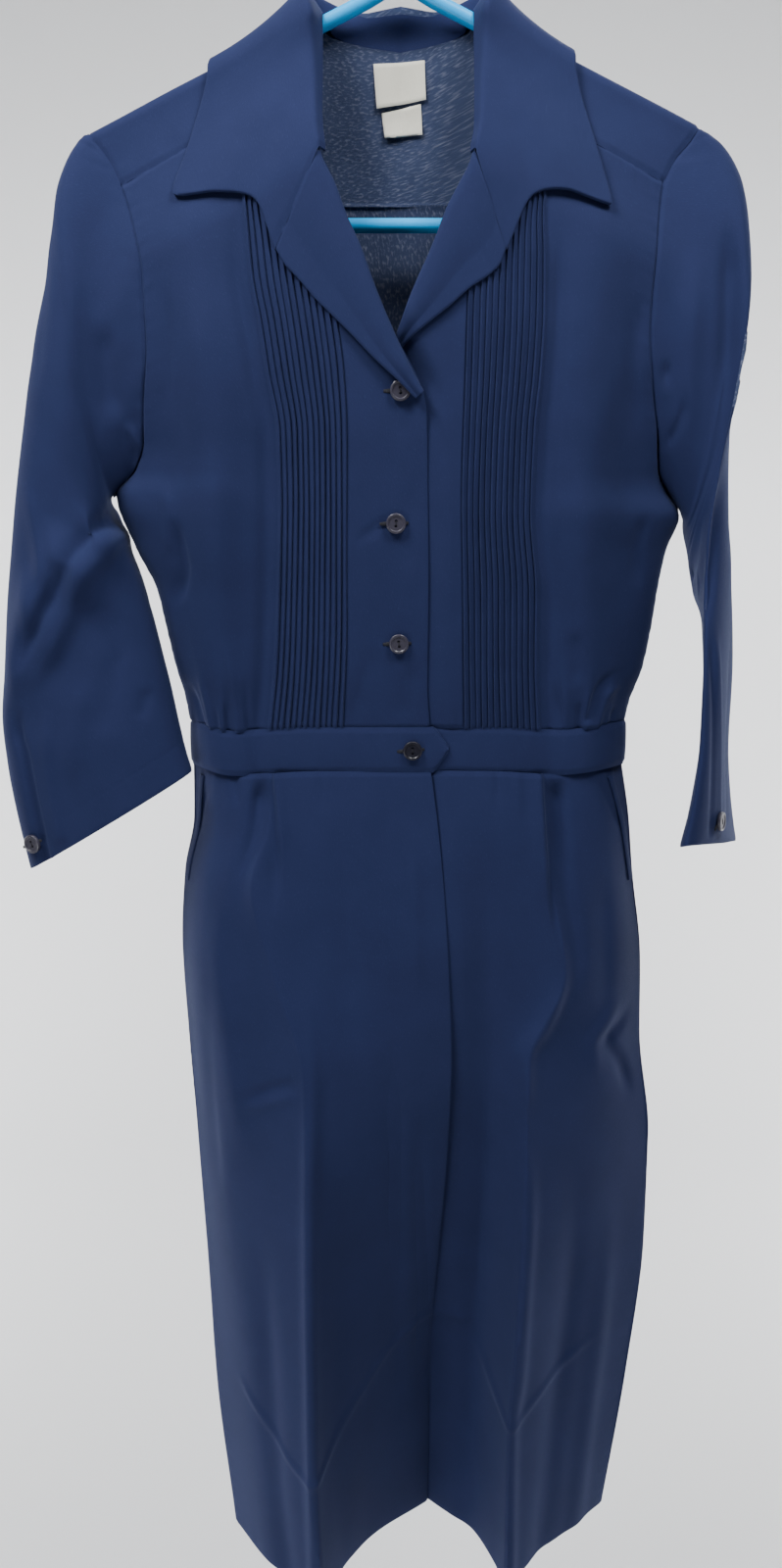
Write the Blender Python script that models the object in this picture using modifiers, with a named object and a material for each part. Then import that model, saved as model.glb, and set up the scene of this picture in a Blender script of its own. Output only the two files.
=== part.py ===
"""Waitress uniform dress on a tubular hanger.

The frame is metres, +Z up, with the origin under the hanger's hook. The wearer's right side is at -X and the
front faces -Y. Each cloth piece is a wall between an outer and an inner grid of points on shared surfaces.
"""
import math
import bmesh
import bpy
import numpy as np
from mathutils import Matrix, Vector

COLLECTION = "waitress_dress"

CLOTH = 0.0012
BAND_WALL = 0.0020
COLLAR_WALL = 0.0016
GAP = 0.0003

TUBE_RADIUS = 0.0045
HOOK_RADIUS = 0.0200
APEX_Z = -0.085
ARM_SLOPE = 0.468
HANGER_HALF = 0.1945
BAR_Z = -0.2220

WAIST_Z = -0.5405
BAND_BOTTOM_Z = -0.5705
HEM_Z = -1.1900
BACK_SEAM_Z = -0.2050
YOKE_DROP = {"right": 0.0448, "left": 0.0482}

ROWS_BELOW_UNDERARM = 4
ROWS_BESIDE_ARMHOLE = 7
TUCKS = 13
TUCK_HEIGHT = 0.0010
TUCK_CREST = 0.36

BUTTON_RADIUS = 0.0064
BUTTON_HEIGHT = 0.0026
HOLE_RADIUS = 0.0009
HOLE_OFFSET = 0.0016

NAVY = (0.020, 0.034, 0.105)
NAVY_DARK = (0.016, 0.026, 0.085)
BLUE = (0.010, 0.140, 0.620)
WHITE = (0.800, 0.790, 0.720)

SIGN = {"right": -1.0, "left": 1.0}

# Edge of the garment seen from the front: z, x of the side seam and then of the front armhole seam
EDGE = {
    "right": [(-0.541, -0.1450), (-0.521, -0.1480), (-0.504, -0.1540), (-0.476, -0.1600), (-0.450, -0.1655),
              (-0.424, -0.1775), (-0.3885, -0.1890), (-0.3734, -0.1740), (-0.355, -0.1668),
              (-0.328, -0.1640), (-0.298, -0.1605), (-0.257, -0.1609), (-0.226, -0.1667),
              (-0.2011, -0.1746), (-0.1917, -0.1789), (-0.1818, -0.1856), (-0.1700, -0.1960)],
    "left": [(-0.541, 0.1570), (-0.527, 0.1596), (-0.504, 0.1673), (-0.473, 0.1726), (-0.450, 0.1754),
             (-0.424, 0.1800), (-0.4026, 0.1875), (-0.388, 0.1780), (-0.3734, 0.1695), (-0.355, 0.1668),
             (-0.319, 0.1600), (-0.283, 0.1570), (-0.2375, 0.1596), (-0.1994, 0.1637),
             (-0.1861, 0.1702), (-0.1741, 0.1803), (-0.1652, 0.1862)],
}
UNDERARM_Z = {"right": -0.3885, "left": -0.4026}
JUNCTION_Z = {"right": -0.2011, "left": -0.1994}

# Depth of the front below the shoulder: z, y at the middle, y at the armhole seam
FRONT_DEPTH = [(-0.541, -0.0340, 0.0), (-0.500, -0.0370, 0.0), (-0.420, -0.0410, 0.0),
               (-0.3885, -0.0420, -0.002), (-0.370, -0.0425, -0.012),
               (-0.340, -0.0435, -0.022), (-0.300, -0.0440, -0.027),
               (-0.250, -0.0420, -0.026), (-0.200, -0.0390, -0.020), (-0.100, -0.0340, -0.016)]
BACK_DEPTH = [(-0.541, 0.0300, 0.0), (-0.500, 0.0300, 0.0), (-0.420, 0.0290, 0.0), (-0.3885, 0.0285, 0.002),
              (-0.370, 0.0280, 0.010), (-0.340, 0.0275, 0.016), (-0.300, 0.0270, 0.019),
              (-0.250, 0.0260, 0.019), (-0.200, 0.0240, 0.016), (-0.100, 0.0200, 0.012)]
# Soft puff of cloth beside the tucks: z, x of its crest, height
PUFF = {
    "right": [(-0.541, -0.124, 0.0040), (-0.500, -0.122, 0.0070), (-0.420, -0.121, 0.0100),
              (-0.330, -0.119, 0.0080), (-0.250, -0.125, 0.0030), (-0.200, -0.130, 0.0)],
    "left": [(-0.541, 0.128, 0.0040), (-0.500, 0.126, 0.0070), (-0.420, 0.118, 0.0100),
             (-0.330, 0.116, 0.0070), (-0.250, 0.120, 0.0030), (-0.200, 0.125, 0.0)],
}
PUFF_WIDTH = 0.019
# Gathers where the bodice meets the waistband: x of each crest, height
WAIST_GATHERS = {"right": [(-0.106, 0.0016), (-0.120, 0.0026), (-0.134, 0.0022)],
                 "left": [(0.110, 0.0022), (0.127, 0.0028), (0.143, 0.0020)]}
GATHER_WIDTH = 0.0040
GATHER_REACH = 0.052

# Inner edge of each front: z, x along the placket and then along the roll line of the lapel
INNER_EDGE = {
    "right": [(-0.541, 0.0200), (-0.512, 0.0180), (-0.448, 0.0182), (-0.386, 0.0172), (-0.340, 0.0162),
              (-0.3308, 0.0150), (-0.2913, -0.0042), (-0.2654, -0.0155), (-0.2423, -0.0243),
              (-0.2254, -0.0324), (-0.2006, -0.0425), (-0.186, -0.0490), (-0.170, -0.0505),
              (-0.140, -0.0505)],
    "left": [(-0.541, -0.0210), (-0.448, -0.0215), (-0.345, -0.0220), (-0.335, -0.0200),
             (-0.2910, -0.0024), (-0.2674, 0.0071), (-0.2419, 0.0189), (-0.2206, 0.0275),
             (-0.1938, 0.0425), (-0.178, 0.0465), (-0.140, 0.0470)],
}
TUCKS_INNER = {
    "right": [(-0.542, -0.0381), (-0.473, -0.0349), (-0.423, -0.0345), (-0.350, -0.0339), (-0.315, -0.0354),
              (-0.286, -0.0388), (-0.240, -0.0440), (-0.190, -0.0600), (-0.140, -0.0620)],
    "left": [(-0.542, 0.0432), (-0.448, 0.0406), (-0.386, 0.0391), (-0.326, 0.0402), (-0.269, 0.0410),
             (-0.240, 0.0420), (-0.190, 0.0560), (-0.140, 0.0580)],
}
TUCKS_OUTER = {
    "right": [(-0.542, -0.0906), (-0.499, -0.0850), (-0.460, -0.0822), (-0.423, -0.0801), (-0.386, -0.0787),
              (-0.350, -0.0791), (-0.315, -0.0851), (-0.286, -0.0893), (-0.257, -0.0946),
              (-0.218, -0.0971), (-0.160, -0.0980)],
    "left": [(-0.542, 0.0963), (-0.499, 0.0931), (-0.448, 0.0917), (-0.398, 0.0865), (-0.350, 0.0870),
             (-0.315, 0.0897), (-0.280, 0.0911), (-0.246, 0.0907), (-0.221, 0.0893), (-0.160, 0.0890)],
}
# Armhole over the shoulder on the yoke: q along the cloth from the ridge, to the front, and x
YOKE_ARMHOLE = {
    "right": [(-0.0480, -0.1860), (-0.0334, -0.1890), (-0.0203, -0.1925), (-0.0111, -0.1950), (0.0, -0.1960),
              (0.0111, -0.1912), (0.0203, -0.1856), (0.0334, -0.1789), (0.0448, -0.1746)],
    "left": [(-0.0480, 0.1800), (-0.0334, 0.1822), (-0.0203, 0.1842), (-0.0111, 0.1858), (0.0, 0.1862),
             (0.0151, 0.1803), (0.0318, 0.1702), (0.0482, 0.1637)],
}
BACK_ARMHOLE = {
    "right": [(-0.3885, -0.1890), (-0.3734, -0.1835), (-0.355, -0.1800), (-0.300, -0.1780), (-0.250, -0.1800),
              (-0.205, -0.1860)],
    "left": [(-0.4026, 0.1875), (-0.3880, 0.1830), (-0.355, 0.1770), (-0.300, 0.1740), (-0.250, 0.1750),
             (-0.205, 0.1800)],
}
# Back neckline from the shoulder ridge to the middle: share of the way, x, q
BACK_NECK = {"right": [(0.0, -0.0505, 0.0), (0.12, -0.0500, -0.0070), (0.30, -0.0460, -0.0150),
                       (0.60, -0.0280, -0.0290), (1.0, 0.0, -0.0454)],
             "left": [(0.0, 0.0470, 0.0), (0.12, 0.0465, -0.0070), (0.30, 0.0430, -0.0150),
                      (0.60, 0.0260, -0.0290), (1.0, 0.0, -0.0454)]}

# Collar stations from the middle of the back to the gorge: neck x, q; roll x, q, height; edge x, q, height
COLLAR = {
    "right": [(0.0000, -0.0454, 0.0000, -0.0165, 0.0060, 0.0000, -0.0800, 0.0060),
              (-0.0240, -0.0320, -0.0260, -0.0090, 0.0070, -0.0480, -0.0560, 0.0060),
              (-0.0420, -0.0175, -0.0440, -0.0020, 0.0120, -0.0920, -0.0330, 0.0055),
              (-0.0505, -0.0020, -0.0520, 0.0010, 0.0165, -0.1147, 0.0000, 0.0046),
              (-0.0505, 0.0150, -0.0520, 0.0130, 0.0150, -0.1220, 0.0250, 0.0042),
              (-0.0505, 0.0300, -0.0515, 0.0290, 0.0110, -0.1310, 0.0500, 0.0036),
              (-0.0505, 0.0450, -0.0510, 0.0440, 0.0085, -0.1392, 0.0700, 0.0036),
              (-0.0505, 0.0620, -0.0508, 0.0610, 0.0065, -0.1120, 0.0850, 0.0036),
              (-0.0497, 0.0770, -0.0502, 0.0760, 0.0055, -0.0880, 0.1010, 0.0036),
              (-0.0480, 0.0905, -0.0486, 0.0895, 0.0050, -0.0768, 0.1340, 0.0036)],
    "left": [(0.0000, -0.0454, 0.0000, -0.0165, 0.0060, 0.0000, -0.0800, 0.0060),
             (0.0220, -0.0320, 0.0240, -0.0090, 0.0070, 0.0450, -0.0575, 0.0060),
             (0.0395, -0.0175, 0.0410, -0.0020, 0.0120, 0.0850, -0.0360, 0.0055),
             (0.0470, -0.0020, 0.0485, 0.0010, 0.0165, 0.1040, 0.0000, 0.0046),
             (0.0470, 0.0150, 0.0485, 0.0130, 0.0150, 0.1100, 0.0260, 0.0042),
             (0.0470, 0.0300, 0.0480, 0.0290, 0.0110, 0.1190, 0.0520, 0.0036),
             (0.0470, 0.0450, 0.0475, 0.0440, 0.0085, 0.1280, 0.0830, 0.0036),
             (0.0468, 0.0620, 0.0471, 0.0610, 0.0065, 0.1000, 0.0900, 0.0036),
             (0.0466, 0.0770, 0.0468, 0.0760, 0.0055, 0.0800, 0.1020, 0.0036),
             (0.0440, 0.0935, 0.0440, 0.0925, 0.0050, 0.0645, 0.1400, 0.0036)],
}
# Lapel stations from the gorge to the break of the roll: roll x, z; edge x, z; height of the edge
LAPEL = {
    "right": [(-0.0488, -0.1870, -0.0760, -0.2442, 0.0034), (-0.0455, -0.1960, -0.0703, -0.2535, 0.0034),
              (-0.0400, -0.2060, -0.0625, -0.2615, 0.0032),
              (-0.0324, -0.2254, -0.0529, -0.2723, 0.0032), (-0.0243, -0.2423, -0.0411, -0.2835, 0.0034),
              (-0.0155, -0.2654, -0.0293, -0.2947, 0.0036), (-0.0042, -0.2913, -0.0174, -0.3067, 0.0042),
              (0.0060, -0.3120, -0.0040, -0.3186, 0.0052), (0.0143, -0.3265, 0.0092, -0.3312, 0.0050)],
    "left": [(0.0428, -0.1895, 0.0637, -0.2444, 0.0034), (0.0405, -0.1965, 0.0600, -0.2535, 0.0034),
             (0.0345, -0.2075, 0.0525, -0.2600, 0.0032),
             (0.0275, -0.2206, 0.0420, -0.2668, 0.0032), (0.0189, -0.2419, 0.0300, -0.2770, 0.0032),
             (0.0071, -0.2674, 0.0184, -0.2857, 0.0030), (-0.0024, -0.2910, 0.0006, -0.3009, 0.0028),
             (-0.0120, -0.3130, -0.0080, -0.3180, 0.0028)],
}

# Sleeve rings below the armhole: outer fold x, y, z; inner fold x, y, z; depth front, back; turn in degrees
SLEEVE = {
    "right": [(-0.2075, 0.000, -0.1810, -0.1905, 0.000, -0.3900, 0.028, 0.020, 0),
              (-0.2146, 0.000, -0.1985, -0.1908, 0.000, -0.3920, 0.030, 0.022, 0),
              (-0.2190, 0.000, -0.2210, -0.1908, 0.000, -0.3945, 0.031, 0.024, 0),
              (-0.2250, -0.002, -0.2500, -0.1905, 0.000, -0.3980, 0.032, 0.025, 0),
              (-0.2350, -0.004, -0.2900, -0.1895, 0.000, -0.4030, 0.032, 0.026, 0),
              (-0.2432, -0.006, -0.3360, -0.1870, -0.002, -0.4100, 0.031, 0.026, 0),
              (-0.2512, -0.009, -0.3855, -0.1815, -0.005, -0.4240, 0.030, 0.025, 0),
              (-0.2565, -0.012, -0.4236, -0.1745, -0.008, -0.4420, 0.029, 0.024, 0),
              (-0.2620, -0.015, -0.4625, -0.1675, -0.012, -0.4660, 0.028, 0.023, 0),
              (-0.2660, -0.018, -0.5020, -0.1605, -0.016, -0.4920, 0.027, 0.022, 0),
              (-0.2688, -0.021, -0.5350, -0.1545, -0.019, -0.5160, 0.026, 0.021, 0),
              (-0.2665, -0.024, -0.5650, -0.1500, -0.022, -0.5380, 0.025, 0.020, 0),
              (-0.2610, -0.026, -0.6050, -0.1460, -0.024, -0.5570, 0.023, 0.018, 0),
              (-0.2550, -0.028, -0.6394, -0.1421, -0.026, -0.5720, 0.021, 0.016, 0)],
    "left": [(0.2085, 0.000, -0.1800, 0.1900, 0.000, -0.4045, 0.028, 0.020, 0),
             (0.2130, 0.000, -0.1930, 0.1905, 0.000, -0.4065, 0.030, 0.022, 0),
             (0.2190, -0.002, -0.2170, 0.1910, 0.000, -0.4090, 0.031, 0.024, 0),
             (0.2215, -0.005, -0.2470, 0.1915, 0.002, -0.4120, 0.031, 0.025, 0),
             (0.2200, -0.009, -0.2900, 0.1925, 0.004, -0.4170, 0.030, 0.025, 4),
             (0.2150, -0.015, -0.3350, 0.1950, 0.008, -0.4240, 0.027, 0.024, 12),
             (0.2110, -0.023, -0.3750, 0.2005, 0.014, -0.4360, 0.021, 0.023, 28),
             (0.2050, -0.035, -0.4200, 0.2120, 0.022, -0.4570, 0.014, 0.020, 52),
             (0.2000, -0.048, -0.4650, 0.2240, 0.030, -0.4850, 0.006, 0.016, 68),
             (0.1980, -0.058, -0.5050, 0.2300, 0.036, -0.5200, 0.005, 0.015, 71),
             (0.1970, -0.064, -0.5450, 0.2320, 0.040, -0.5640, 0.006, 0.015, 71),
             (0.1940, -0.069, -0.5800, 0.2350, 0.043, -0.6050, 0.010, 0.018, 71),
             (0.1895, -0.073, -0.6110, 0.2400, 0.045, -0.6430, 0.016, 0.023, 71)],
}
# Ridge of cloth that crosses the front of a sleeve: ring number, angle in degrees from the outer fold, height
SLEEVE_RIDGE = {"right": [(0, 150.0, 0.0), (5, 150.0, 0.002), (6, 128.0, 0.010), (7, 95.0, 0.012),
                          (8, 62.0, 0.011), (9, 38.0, 0.008), (10, 15.0, 0.004), (13, 8.0, 0.0)],
                "left": [(0, 60.0, 0.0), (3, 50.0, 0.004), (5, 30.0, 0.008), (7, 12.0, 0.006),
                         (12, 5.0, 0.0)]}
RIDGE_WIDTH = math.radians(24.0)

# Plan of the skirt's front: z, then x, y at the side seam, flank, pressed ridge, its foot, front edge
SKIRT = {
    "right": [(-0.5708, -0.1442, 0.0, -0.1270, -0.0190, -0.0860, -0.0330, -0.0450, -0.0350, 0.0210, -0.0345),
              (-0.6100, -0.1455, 0.0, -0.1290, -0.0210, -0.0900, -0.0400, -0.0450, -0.0400, 0.0260, -0.0390),
              (-0.6500, -0.1535, 0.0, -0.1360, -0.0250, -0.1010, -0.0450, -0.0480, -0.0450, 0.0300, -0.0430),
              (-0.7120, -0.1580, 0.0, -0.1400, -0.0300, -0.0860, -0.0550, -0.0430, -0.0520, 0.0340, -0.0470),
              (-0.7780, -0.1565, 0.0, -0.1370, -0.0330, -0.0665, -0.0680, -0.0330, -0.0590, 0.0365, -0.0460),
              (-0.8600, -0.1520, -0.003, -0.1300, -0.0370, -0.0640, -0.0780, -0.0240, -0.0560,
               0.0345, -0.0350),
              (-0.9500, -0.1470, -0.008, -0.1230, -0.0430, -0.0640, -0.0860, -0.0240, -0.0480,
               0.0300, -0.0190),
              (-1.0680, -0.1430, -0.013, -0.1103, -0.0535, -0.0634, -0.0911, -0.0300, -0.0500,
               0.0250, -0.0010),
              (-1.1900, -0.1305, -0.0221, -0.0980, -0.0630, -0.0560, -0.0950, -0.0260, -0.0420,
               0.0240, -0.0020)],
    "left": [(-0.5708, 0.1555, 0.0, 0.1380, -0.0190, 0.0980, -0.0315, 0.0560, -0.0345, 0.0210, -0.0345),
             (-0.6100, 0.1625, 0.0, 0.1440, -0.0200, 0.1010, -0.0370, 0.0580, -0.0380, 0.0260, -0.0390),
             (-0.6500, 0.1670, 0.0, 0.1500, -0.0210, 0.1060, -0.0400, 0.0610, -0.0400, 0.0300, -0.0430),
             (-0.7120, 0.1755, 0.0, 0.1560, -0.0230, 0.1160, -0.0430, 0.0650, -0.0410, 0.0340, -0.0460),
             (-0.7780, 0.1785, 0.0, 0.1500, -0.0260, 0.0910, -0.0500, 0.0640, -0.0380, 0.0365, -0.0430),
             (-0.8600, 0.1890, 0.0, 0.1500, -0.0270, 0.0900, -0.0570, 0.0620, -0.0290, 0.0345, -0.0320),
             (-0.9500, 0.1895, 0.0, 0.1450, -0.0270, 0.0890, -0.0620, 0.0600, -0.0170, 0.0300, -0.0170),
             (-1.0680, 0.1810, -0.0005, 0.1350, -0.0290, 0.0831, -0.0651, 0.0600, -0.0100, 0.0250, 0.0000),
             (-1.1900, 0.1660, -0.0038, 0.1240, -0.0400, 0.0820, -0.0800, 0.0560, -0.0260, 0.0240, -0.0020)],
}
SKIRT_BACK_DEPTH = [(-0.5708, 0.0300), (-0.650, 0.0330), (-0.780, 0.0390), (-0.950, 0.0430), (-1.190, 0.0460)]
SKIRT_LEVELS = [-0.5708, -0.5900, -0.6150, -0.6500, -0.6900, -0.7350, -0.7800, -0.8400, -0.9100, -0.9900,
                -1.0680, -1.1300, HEM_Z]
# Pleat that opens out of the waistband beside the ridge: depth of its valley and its distance from the ridge
PLEAT_DEPTH = 0.0070
PLEAT_STEP = 0.0080
PLEAT_WIDTH = 0.0060
PLEAT_REACH = {"right": 0.110, "left": 0.200}
RIDGE_SHARES = [0.0, 0.14, 0.32, 0.52, 0.70, 0.82, 0.91, 0.96, 1.0]
FOOT_SHARES = [0.12, 0.30, 0.50, 0.66, 0.82, 0.92, 1.0]
BACK_COLUMNS = 15

# Buttons down the front: name, x, z, tilt of the two holes in degrees
BODICE_BUTTONS = [("button_top", -0.0002, -0.3262, 6.0), ("button_middle", -0.0028, -0.4068, -4.0),
                  ("button_lower", -0.0008, -0.4838, 8.0)]
WAIST_BUTTON = ("button_waist", 0.0085, -0.5557, 3.0)
# Cuff buttons: name, side, ring from the cuff, angle in degrees from the outer fold
CUFF_BUTTONS = [("button_cuff_right", "right", 0.60, 36.0), ("button_cuff_left", "left", 0.60, -48.0)]
# Slanted pocket edges: share of the rows and of the columns of the skirt front at the two ends
POCKETS = {"right": ((0.35, 1.30), (3.15, 0.30)), "left": ((0.35, 1.90), (3.15, 0.30))}
POCKET_WALL = 0.0010
POCKET_WIDTH = 0.0070

NECK_LABEL = ("neck_label", -0.0005, -0.1345, 0.032, 0.026)
SIZE_LABEL = ("size_label", 0.0010, -0.1575, 0.022, 0.014)
LABEL_WALL = 0.0010


class Track:
    """Values that run smoothly, without overshoot, through rows of a place and its values."""

    def __init__(self, rows):
        rows = np.array(sorted(rows), dtype=float)
        self.at = rows[:, 0]
        self.values = rows[:, 1:]
        rise = np.diff(self.values, axis=0) / np.diff(self.at)[:, None]
        self.slope = np.zeros_like(self.values)
        same = rise[1:] * rise[:-1] > 0
        total = np.where(same, rise[1:] + rise[:-1], 1.0)
        self.slope[1:-1] = np.where(same, 2 * rise[1:] * rise[:-1] / total, 0.0)
        self.slope[0] = rise[0]
        self.slope[-1] = rise[-1]

    def __call__(self, places):
        """Return the values at one place or at an array of places."""
        places = np.clip(np.asarray(places, dtype=float), self.at[0], self.at[-1])
        low = np.clip(np.searchsorted(self.at, places) - 1, 0, len(self.at) - 2)
        span = (self.at[low + 1] - self.at[low])[..., None]
        t = (places - self.at[low])[..., None] / span
        start = self.values[low] * (2 * t**3 - 3 * t**2 + 1) + self.slope[low] * span * (t**3 - 2 * t**2 + t)
        end = self.values[low + 1] * (3 * t**2 - 2 * t**3) + self.slope[low + 1] * span * (t**3 - t**2)
        out = start + end
        return out[..., 0] if out.shape[-1] == 1 else out


def ease(t):
    """Go smoothly from 0 to 1 as t does."""
    t = np.clip(t, 0.0, 1.0)
    return t * t * (3 - 2 * t)


def hump(offset, width):
    """Return a soft bump of height 1 around an offset of 0."""
    return np.exp(-(offset / width) ** 2)


EDGE_X = {side: Track(rows) for side, rows in EDGE.items()}
BACK_EDGE_X = {side: Track(EDGE[side][:6] + rows) for side, rows in BACK_ARMHOLE.items()}
INNER_X = {side: Track(rows) for side, rows in INNER_EDGE.items()}
TUCK_IN_X = {side: Track(rows) for side, rows in TUCKS_INNER.items()}
TUCK_OUT_X = {side: Track(rows) for side, rows in TUCKS_OUTER.items()}
PUFF_LINE = {side: Track(rows) for side, rows in PUFF.items()}
FRONT_Y = Track(FRONT_DEPTH)
BACK_Y = Track(BACK_DEPTH)

ARCH = TUBE_RADIUS + CLOTH + GAP + 0.0009
RIDGE_TOP = APEX_Z + TUBE_RADIUS * math.hypot(1.0, ARM_SLOPE) + CLOTH + GAP + 0.0007
ARCH_TURN = ARCH * math.pi / 2
ARCH_BLEND = 0.100


def ridge(x):
    """Return the height of the cloth where it lies over the hanger's arm."""
    return RIDGE_TOP - ARM_SLOPE * np.abs(x)


def side_of(x):
    """Return the name of the wearer's side that a place lies on."""
    return "right" if x < 0 else "left"


def body_y(x, z, front=True):
    """Return the depth of the bodice's outer face at a place seen from the front or back."""
    side = side_of(x)
    edge = (EDGE_X if front else BACK_EDGE_X)[side](z)
    middle, rim = (FRONT_Y if front else BACK_Y)(z)
    share = min(abs(x / edge), 1.0)
    round_side = float(ease((-0.345 - z) / 0.060))
    shape = round_side * math.sqrt(1 - share**2.6) + (1 - round_side) * (1 - share**3)
    depth = rim + (middle - rim) * shape
    if front:
        crest, height = PUFF_LINE[side](z)
        fade = min(1.0, (1 - share) * 8)
        depth -= height * hump(x - crest, PUFF_WIDTH) * fade
        step = abs(x) - abs(TUCK_OUT_X[side](z)) - 0.006
        depth += 0.0030 * hump(step, 0.005) * float(ease((-0.22 - z) / 0.06))
        rise = float(ease(1 - (z - WAIST_Z) / GATHER_REACH))
        for place, size in WAIST_GATHERS[side]:
            depth -= size * rise * hump(x - place, GATHER_WIDTH) * fade
    drop = max(ridge(x) - z, 0.0)
    near = min(drop, ARCH)
    arch = ARCH * math.sqrt(max(0.0, 1 - (1 - near / ARCH) ** 2))
    sign = -1.0 if front else 1.0
    return sign * arch + (depth - sign * ARCH) * float(ease(drop / ARCH_BLEND))


def over_shoulder(x, q):
    """Return the point at x and at q along the cloth from the ridge, positive to the front."""
    length = abs(q)
    if length < ARCH_TURN:
        drop = ARCH * (1 - math.cos(length / ARCH))
    else:
        drop = ARCH + length - ARCH_TURN
    z = float(ridge(x)) - drop
    return np.array([x, body_y(x, z, q >= 0), z])


def drop_to_q(drop):
    """Return q for a place this far below the ridge."""
    return drop - ARCH + ARCH_TURN


def lifted(x, q, height):
    """Return the point at x and q, moved out of the cloth by a height."""
    step = 0.0015
    along = over_shoulder(x, q + step) - over_shoulder(x, q - step)
    across = over_shoulder(x + step, q) - over_shoulder(x - step, q)
    normal = np.cross(along, across)
    return over_shoulder(x, q) + normal * height / np.linalg.norm(normal)


def vertex_normals(grid, closed=False):
    """Return the normal at each grid point, and how far neighbouring faces agree there."""
    ring = np.concatenate([grid, grid[:, :1]], axis=1) if closed else grid
    across = ring[:, 1:] - ring[:, :-1]
    along = ring[1:] - ring[:-1]
    face = np.cross(across[1:] + across[:-1], along[:, 1:] + along[:, :-1])
    face /= np.linalg.norm(face, axis=2, keepdims=True)
    total = np.zeros_like(ring)
    count = np.zeros(ring.shape[:2] + (1,))
    for rows in (slice(None, -1), slice(1, None)):
        for columns in (slice(None, -1), slice(1, None)):
            total[rows, columns] += face
            count[rows, columns] += 1
    if closed:
        total[:, 0] += total[:, -1]
        count[:, 0] += count[:, -1]
        total = total[:, :-1]
        count = count[:, :-1]
    mean = total / count
    size = np.linalg.norm(mean, axis=2, keepdims=True)
    return mean / size, size


def outward(grid, inside, closed=False):
    """Return the normals of a grid, facing away from a point or line inside, and the fold factor."""
    normals, size = vertex_normals(grid, closed)
    if np.sum(normals * (grid - inside)) < 0:
        normals = -normals
    return normals, 1.0 / np.maximum(size, 0.64)


def flatten(normals, row):
    """Make the normals of one row level, so that two pieces meet squarely at a seam."""
    normals[row, :, 2] = 0.0
    normals[row] /= np.linalg.norm(normals[row], axis=1, keepdims=True)


def finish(name, colour, roughness, metallic=0.0):
    """Return a plain material."""
    material = bpy.data.materials.get(name)
    if material is None:
        material = bpy.data.materials.new(name)
        material.use_nodes = True
        shader = material.node_tree.nodes["Principled BSDF"]
        shader.inputs["Base Color"].default_value = (*colour, 1.0)
        shader.inputs["Roughness"].default_value = roughness
        shader.inputs["Metallic"].default_value = metallic
    return material


def add_object(name, mesh, material):
    """Link a mesh as one named part of the dress."""
    part = bpy.data.objects.new(name, mesh)
    mesh.materials.clear()
    mesh.materials.append(material)
    mesh.shade_smooth()
    mesh.set_sharp_from_angle(angle=math.radians(40.0))
    bpy.data.collections[COLLECTION].objects.link(part)
    return part


def wall(name, outer, inner, material, closed=False):
    """Make one closed solid between two grids of points of the same size."""
    rows, columns = outer.shape[:2]
    bm = bmesh.new()
    top = [[bm.verts.new(point) for point in row] for row in outer]
    low = [[bm.verts.new(point) for point in row] for row in inner]
    steps = columns if closed else columns - 1
    for r in range(rows - 1):
        for c in range(steps):
            d = (c + 1) % columns
            for sheet, order in ((top, 1), (low, -1)):
                corners = [sheet[r][c], sheet[r][d], sheet[r + 1][d], sheet[r + 1][c]]
                bm.faces.new([corners[0], corners[1], corners[2]][::order])
                bm.faces.new([corners[0], corners[2], corners[3]][::order])
    for r in (0, rows - 1):
        for c in range(steps):
            d = (c + 1) % columns
            bm.faces.new([top[r][c], top[r][d], low[r][d], low[r][c]])
    if not closed:
        for c in (0, columns - 1):
            for r in range(rows - 1):
                bm.faces.new([top[r][c], top[r + 1][c], low[r + 1][c], low[r][c]])
    bmesh.ops.recalc_face_normals(bm, faces=bm.faces)
    mesh = bpy.data.meshes.new(name)
    bm.to_mesh(mesh)
    bm.free()
    return add_object(name, mesh, material)


def levels(side, top_z):
    """Return the heights of a front's rows at its outer edge."""
    low = np.linspace(WAIST_Z, UNDERARM_Z[side], ROWS_BELOW_UNDERARM + 1)
    return np.concatenate([low, np.linspace(UNDERARM_Z[side], top_z, ROWS_BESIDE_ARMHOLE + 1)[1:]])


FRONT_INNER_SHARES = {"right": [0.0, 0.30, 0.65], "left": [0.0, 0.22, 0.42, 0.60, 0.75, 0.88]}
SIDE_COLUMNS = 10
UNDER_FADE = 0.016
UNDER_SINK = 0.0058


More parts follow.
